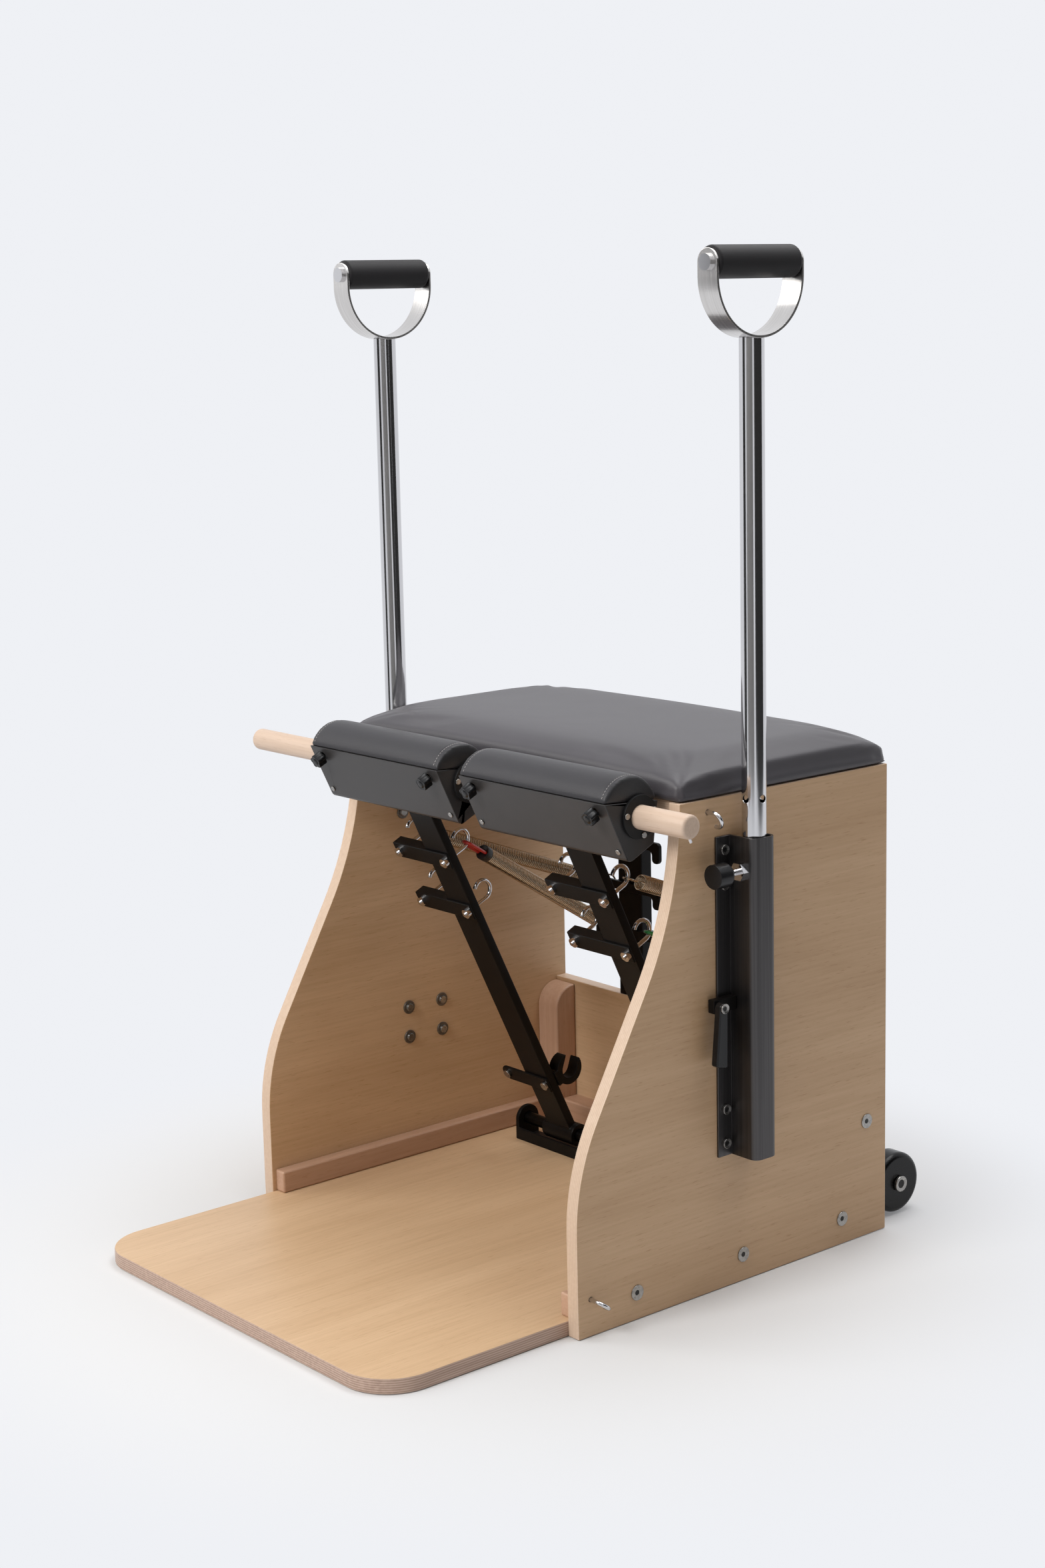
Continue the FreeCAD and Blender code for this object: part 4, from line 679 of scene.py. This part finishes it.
for run, side, front_ring, rear_ring, colour in spring_runs:
    front_shank = clip_shank if colour else ring_shank
    front_ring = Vector(front_ring)
    rear_ring = Vector(rear_ring)
    axis = (rear_ring - front_ring).normalized()
    level = (Vector((1, 0, 0)) - axis * axis.x).normalized()
    stand = Matrix((level, axis.cross(level), axis)).transposed().to_4x4()
    coil_front = front_ring + axis * front_shank
    coil_rear = rear_ring - axis * rear_shank
    set_in = Matrix.Translation(coil_front) @ stand
    length = (coil_rear - coil_front).length
    turns = int(length / pitch)
    bpy.ops.mesh.primitive_circle_add(vertices=8, radius=wire_radius, rotation=(math.pi / 2, 0, 0),
                                      location=(coil_radius, 0, 0))
    coil = bpy.context.object
    bpy.ops.object.transform_apply(location=True, rotation=True, scale=True)
    winding = coil.modifiers.new("winding", "SCREW")
    winding.steps = winding.render_steps = 14
    winding.iterations = turns
    winding.screw_offset = length / turns
    bpy.ops.object.modifier_apply(modifier="winding")
    bpy.ops.object.mode_set(mode="EDIT")
    bpy.ops.mesh.select_all(action="SELECT")
    bpy.ops.mesh.remove_doubles(threshold=0.000001)
    bpy.ops.mesh.fill_holes(sides=0)
    bpy.ops.mesh.select_all(action="SELECT")
    bpy.ops.mesh.normals_make_consistent(inside=False)
    bpy.ops.object.mode_set(mode="OBJECT")
    loop = [(0, rear_loop * math.sin(math.radians(a)), length + rear_shank - rear_loop * math.cos(math.radians(a)))
            for a in range(0, 346, 30)]
    rear = wire_run([(coil_radius, 0, length), (0.0062, 0, length + 0.0022), (0.0018, 0, length + 0.0045),
                     (0, 0, length + 0.008), (0, 0, length + 0.016)] + loop, rear_wire)
    wound = [coil, rear]
    if not colour:
        loop = [(front_loop * math.sin(math.radians(a)), 0, front_loop * math.cos(math.radians(a)) - front_shank)
                for a in range(0, 346, 30)]
        wound.append(wire_run([(coil_radius, 0, 0), (0.0062, 0, -0.0022), (0.0018, 0, -0.0045),
                               (0, 0, -0.0085)] + loop, front_wire))
    spring = joined(wound, "spring_" + run + "_wound")
    spring.data.transform(set_in)
    bpy.ops.object.shade_smooth_by_angle(angle=math.radians(50))
    spring.data.materials.clear()
    spring.data.materials.append(spring_wire)
    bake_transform(spring)
    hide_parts("spring_" + run)
    if colour:
        plug, = placed_copies(plug_model, [set_in])
        plug.name = "spring_plug_" + side
        plug.data.materials.append(plug_black)
        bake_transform(plug)
        clip, = placed_copies(clip_model, [set_in])
        clip.name = "spring_clip_" + colour
        clip.data.materials.append(paint_finish("clip_" + colour, *link_shades[colour], (0.22, 0.34), coat=0.4))
        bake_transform(clip)
        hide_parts("spring_link_" + side)
for model in (plug_model, clip_model):
    bpy.data.objects.remove(model)

# Pedal arms and their fittings: flat steel tube welded to a hub on the pivot shaft, with folded brackets for the spring
# hooks and a notched saddle low down, all in black powder coat.
black_coat = paint_finish("black_coat", (0.0042, 0.0036, 0.0034), (0.0068, 0.006, 0.0056), (0.34, 0.48), shine=0.13)
for side in ("left", "right"):
    body = "pedal_" + side
    for node, name, ease in (("pedal_arm_", "arm_tube_", 0.0016), ("arm_brackets_", "arm_fittings_", 0.0009)):
        fitting = eased_copy(node + side, name + side, body, ease)
        fitting.data.materials.append(black_coat)

# Pivot base, spring racks, wheel plates and lever blocks: folded and welded flat steel in the same coat, fixed to the
# boards and sleeves. The shaft through the pivot base is plated in black zinc.
fine_marks = (300.0, 300.0, 300.0)
black_zinc = metal_finish("black_zinc", (0.012, 0.011, 0.011), (0.02, 0.019, 0.018), (0.34, 0.46), fine_marks)
nodes["pivot_shaft"].data.materials.clear()
nodes["pivot_shaft"].data.materials.append(black_zinc)
for node, name, ease in (("pivot_base", "pivot_channel", 0.0012), ("spring_rack_left", "hook_rack_left", 0.0013),
                         ("spring_rack_right", "hook_rack_right", 0.0013), ("wheel_brackets", "wheel_plates", 0.0009),
                         ("clamp_blocks", "lever_blocks", 0.0011)):
    plate = eased_copy(node, name, "frame", ease)
    plate.data.materials.append(black_coat)

# Pedal boxes: folded sheet steel under the pads, with a satin dark grey coat, closed by darker end plates.
# Each is fixed on the top of its arm, and the dowel runs through it.
box_coat = paint_finish("box_coat", (0.026, 0.0242, 0.0242), (0.036, 0.0335, 0.0335), (0.38, 0.5), relief=0.07)
end_coat = paint_finish("end_coat", (0.016, 0.015, 0.0155), (0.022, 0.021, 0.0215), (0.4, 0.52), relief=0.07)
for side in ("left", "right"):
    folded = eased_copy("pedal_box_" + side, "folded_box_" + side, "pedal_" + side, 0.0011)
    folded.data.materials.append(box_coat)
    folded.data.materials.append(end_coat)
    for face in folded.data.polygons:
        face.material_index = 1 if abs(face.normal.x) > 0.8 else 0

# End collars: turned black nylon bushes, screwed to both end plates of each pedal box.
# The dowel slides through them.
black_nylon = paint_finish("black_nylon", (0.005, 0.005, 0.0055), (0.009, 0.009, 0.0095), (0.42, 0.55), shine=0.28)
for side in ("left", "right"):
    collars = eased_copy("end_collars_" + side, "dowel_bushes_" + side, "pedal_" + side, 0.0008)
    collars.data.materials.append(black_nylon)

# Pole sleeves: sheet folded to a hat section, in a dark grey satin finish with fine lines along its length.
# Each is bolted to the outer face of a side panel, and a pole slides in it.
anodised = metal_finish("anodised_grey", (0.075, 0.071, 0.071), (0.105, 0.1, 0.1), (0.36, 0.46),
                        (500.0, 500.0, 5.0), 0.06)
sleeves = eased_copy("pole_sleeves", "pole_guides", "frame", 0.0006)
sleeves.data.materials.append(anodised)

# Chrome: drawn tube for the poles, bent strip for the handles, wire hooks and plunger barrels, all plated.
# The strip keeps fine brush lines; inside, the poles are painted near black as painted shade, seen in the cross holes.
chrome = metal_finish("chrome", (0.6, 0.595, 0.605), (0.67, 0.665, 0.675), (0.07, 0.15), (26.0, 26.0, 4.0))
for node in ("arm_hooks_left", "arm_hooks_right", "screw_hooks",
             "plunger_barrels", "dowel_pin", "grip_screws_left", "grip_screws_right"):
    nodes[node].data.materials.clear()
    nodes[node].data.materials.append(chrome)
# Painted shade: a near-black copy for the tubes' inner faces.
tube_painted_shade = metal_finish("tube_painted_shade", (0.012, 0.012, 0.012), (0.02, 0.02, 0.02), (0.6, 0.75))
for side in ("left", "right"):
    tube = eased_copy("pole_" + side, "drawn_pole_" + side, "pole_" + side, 0.0003, 1)
    low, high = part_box("pole_" + side)
    middle = (low + high) / 2
    tube.data.materials.append(chrome)
    tube.data.materials.append(tube_painted_shade)
    for face in tube.data.polygons:
        away = Vector((face.center.x - middle.x, face.center.y - middle.y, 0)).normalized()
        face.material_index = 0 if abs(face.normal.z) > 0.5 or away.dot(face.normal) > 0.6 else 1
brushed = metal_finish("handle_strip", (0.62, 0.6, 0.58), (0.72, 0.7, 0.68), (0.16, 0.26), (420.0, 14.0, 14.0), 0.03)
for side in ("left", "right"):
    strip = eased_copy("grip_strap_" + side, "handle_strip_" + side, "pole_" + side, 0.0005)
    strip.data.materials.append(brushed)

# Bolts and screws: zinc plated, slightly dull. Those with a socket have it sunk in the outer face of the head, and the
# socket is painted near black as painted shade. The sleeve bolts' washers on the panels' inner faces are painted darker
# as painted shade.
zinc = metal_finish("zinc", (0.27, 0.26, 0.245), (0.42, 0.405, 0.385), (0.22, 0.36), fine_marks)
# Painted shade: near black for the sunk sockets, and a darker zinc for the washers on the panels' inner faces.
socket_painted_shade = metal_finish("socket_painted_shade", (0.03, 0.03, 0.03), (0.06, 0.058, 0.055), (0.4, 0.55))
washer_painted_shade = metal_finish("washer_painted_shade", (0.15, 0.14, 0.125), (0.22, 0.205, 0.185), (0.4, 0.52), fine_marks)
inner_washers = (0.2837, 0.2863)
socket_depth, least_head = 0.0012, 0.00002
for node, name, body, ease, socket, outside in (
        ("panel_screws", "panel_bolts", "frame", 0.0007, 0.0052, 0.3045),
        ("sleeve_bolts", "guide_bolts", "frame", 0.0006, 0.0024, 0.3065),
        ("wheel_axles", "axle_bolts", "frame", 0.0014, 0.0032, 0.2835),
        ("pedal_screws_left", "plate_screws_left", "pedal_left", 0.0006, 0, 0),
        ("pedal_screws_right", "plate_screws_right", "pedal_right", 0.0006, 0, 0)):
    bolts = eased_copy(node, name, body, ease, 3)
    bolts.data.materials.append(zinc)
    bolts.data.materials.append(socket_painted_shade)
    bolts.data.materials.append(washer_painted_shade)
    if not socket:
        continue
    for face in bolts.data.polygons:
        if node == "sleeve_bolts" and inner_washers[0] < abs(face.center.x) < inner_washers[1]:
            face.material_index = 2
    for sign in (-1, 1):
        bpy.ops.object.select_all(action="DESELECT")
        bpy.context.view_layer.objects.active = bolts
        bolts.select_set(True)
        bpy.ops.object.mode_set(mode="EDIT")
        bpy.ops.mesh.select_mode(type="FACE")
        mesh = bmesh.from_edit_mesh(bolts.data)
        for face in mesh.faces:
            head = face.calc_center_median().x * sign > outside and face.calc_area() > least_head
            face.select_set(head and face.normal.x * sign > 0.99)
        bmesh.update_edit_mesh(bolts.data)
        bpy.ops.mesh.inset(thickness=socket)
        bpy.ops.transform.translate(value=(-sign * socket_depth, 0, 0))
        bpy.ops.object.mode_set(mode="OBJECT")
        for face in bolts.data.polygons:
            if face.select:
                face.material_index = 1

# Hand knobs: moulded black knobs with five lobes and a small boss in a dished face.
# Two stand on the front of each pedal box, square to its leaning face.
knob_black = paint_finish("knob_black", (0.0045, 0.0045, 0.005), (0.008, 0.008, 0.009), (0.22, 0.36), shine=0.32)
knob_radius, knob_length, knob_inset, knob_lean = 0.0082, 0.0125, 0.009, math.radians(25.4)
lobes, lobe_height = 5, 0.12
knob_dish, knob_boss, fluted_from = 0.0032, 0.0012, 0.0075
bpy.ops.mesh.primitive_cylinder_add(vertices=60, radius=knob_radius, depth=knob_length, rotation=(math.pi / 2, 0, 0))
knob = bpy.context.object
bpy.ops.object.transform_apply(location=True, rotation=True, scale=True)
bpy.ops.object.mode_set(mode="EDIT")
mesh = bmesh.from_edit_mesh(knob.data)
for face in mesh.faces:
    face.select_set(face.normal.y < -0.9)
bmesh.update_edit_mesh(knob.data)
bpy.ops.mesh.inset(thickness=knob_dish)
bpy.ops.transform.translate(value=(0, 0.0008, 0))
bpy.ops.mesh.inset(thickness=knob_boss)
bpy.ops.transform.translate(value=(0, -0.0014, 0))
bpy.ops.object.mode_set(mode="OBJECT")
for point in knob.data.vertices:
    if math.hypot(point.co.x, point.co.z) > fluted_from:
        wave = 1 + lobe_height * math.cos(lobes * math.atan2(point.co.x, point.co.z))
        point.co.x *= wave
        point.co.z *= wave
rounding = knob.modifiers.new("rounding", "BEVEL")
rounding.width = 0.0012
rounding.segments = 3
rounding.angle_limit = math.radians(40)
bpy.ops.object.modifier_apply(modifier="rounding")
knob.data.materials.append(knob_black)
lean = Matrix.Rotation(knob_lean, 4, "X")
for side in ("left", "right"):
    low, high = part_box("hand_knobs_" + side)
    middle = (low + high) / 2 + lean @ Vector((0, -0.002, 0))
    places = [Matrix.Translation((x, middle.y, middle.z)) @ lean for x in (low.x + knob_inset, high.x - knob_inset)]
    pair = joined(placed_copies(knob, places), "lobed_knobs_" + side)
    bpy.ops.object.shade_smooth_by_angle(angle=math.radians(35))
    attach(pair, "pedal_" + side)
    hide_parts("hand_knobs_" + side)
bpy.data.objects.remove(knob)

# Pull pins: a plated pin with a round black knob moulded on its front end.
# It slides in the plunger's barrel, into a pole's hole and out of it.
pin_radius, pin_knob_length = 0.0045, 0.0225
for side in ("left", "right"):
    pull = eased_copy("pull_pin_" + side, "plunger_pull_" + side, "pin_" + side, 0.0004)
    low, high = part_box("pull_pin_" + side)
    middle = (low + high) / 2
    pull.data.materials.append(knob_black)
    pull.data.materials.append(chrome)
    for face in pull.data.polygons:
        off = math.hypot(face.center.x - middle.x, face.center.z - middle.z)
        face.material_index = 1 if off < pin_radius and face.center.y > low.y + pin_knob_length else 0

# Cam levers: moulded black handles that widen towards their free end.
# Each hangs beside its clamp block on a cross screw.
lever_head, lever_widening, lever_slope = 0.014, 0.0065, 0.004
for side in ("left", "right"):
    lever = eased_copy("cam_lever_" + side, "clamp_lever_" + side, "lever_" + side, 0.0018, 3)
    low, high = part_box("cam_lever_" + side)
    for point in lever.data.vertices:
        down = max(0, (high.z - lever_head - point.co.z) / (high.z - low.z - lever_head))
        front = (high.y - point.co.y) / (high.y - low.y)
        point.co.y -= down * front * lever_widening
        point.co.z += down * front * lever_slope
    lever.data.materials.append(knob_black)

# Hand grips: a foam tube under dark leatherette, its rims rolled in at both ends.
# Each sits between the legs of a handle strip, held by a screw at both ends.
grip_skin = leather_finish("grip_leather", (0.0115, 0.0105, 0.012), 900.0, 0.2, (0.46, 0.6), 0.16)
for side in ("left", "right"):
    grip = eased_copy("hand_grip_" + side, "padded_grip_" + side, "pole_" + side, 0.0042, 5, 40)
    grip.data.materials.append(grip_skin)

# Transport wheels: moulded glossy black wheels with eased rims, each turning on its axle bolt.
# They stand behind the back panel, just off the floor.
wheel_black = paint_finish("wheel_black", (0.0028, 0.0027, 0.0028), (0.005, 0.0048, 0.005), (0.2, 0.34), shine=0.25)
for side in ("left", "right"):
    wheel = eased_copy("wheel_" + side, "roller_" + side, "wheel_" + side, 0.0012)
    wheel.data.materials.append(wheel_black)

# Rest buttons: soft black rubber stops on the front edge of the seat board.
# The sprung pedals come to rest against them.
black_rubber = paint_finish("black_rubber", (0.012, 0.012, 0.012), (0.02, 0.02, 0.02), (0.6, 0.75), 700.0, 0.15)
nodes["rest_buttons"].data.materials.clear()
nodes["rest_buttons"].data.materials.append(black_rubber)

# Dowel: a turned stick of pale maple with rounded ends, through both pedals.
# It slides sideways in the end collars, and a small plated pin under its right end stops it.
stick = eased_copy("dowel", "dowel_stick", "dowel", 0.004, 4, 60)
maple = ((0.59, 0.445, 0.345), (0.67, 0.53, 0.43))
stick.data.materials.append(wood_finish("dowel_maple", X, maple, None))
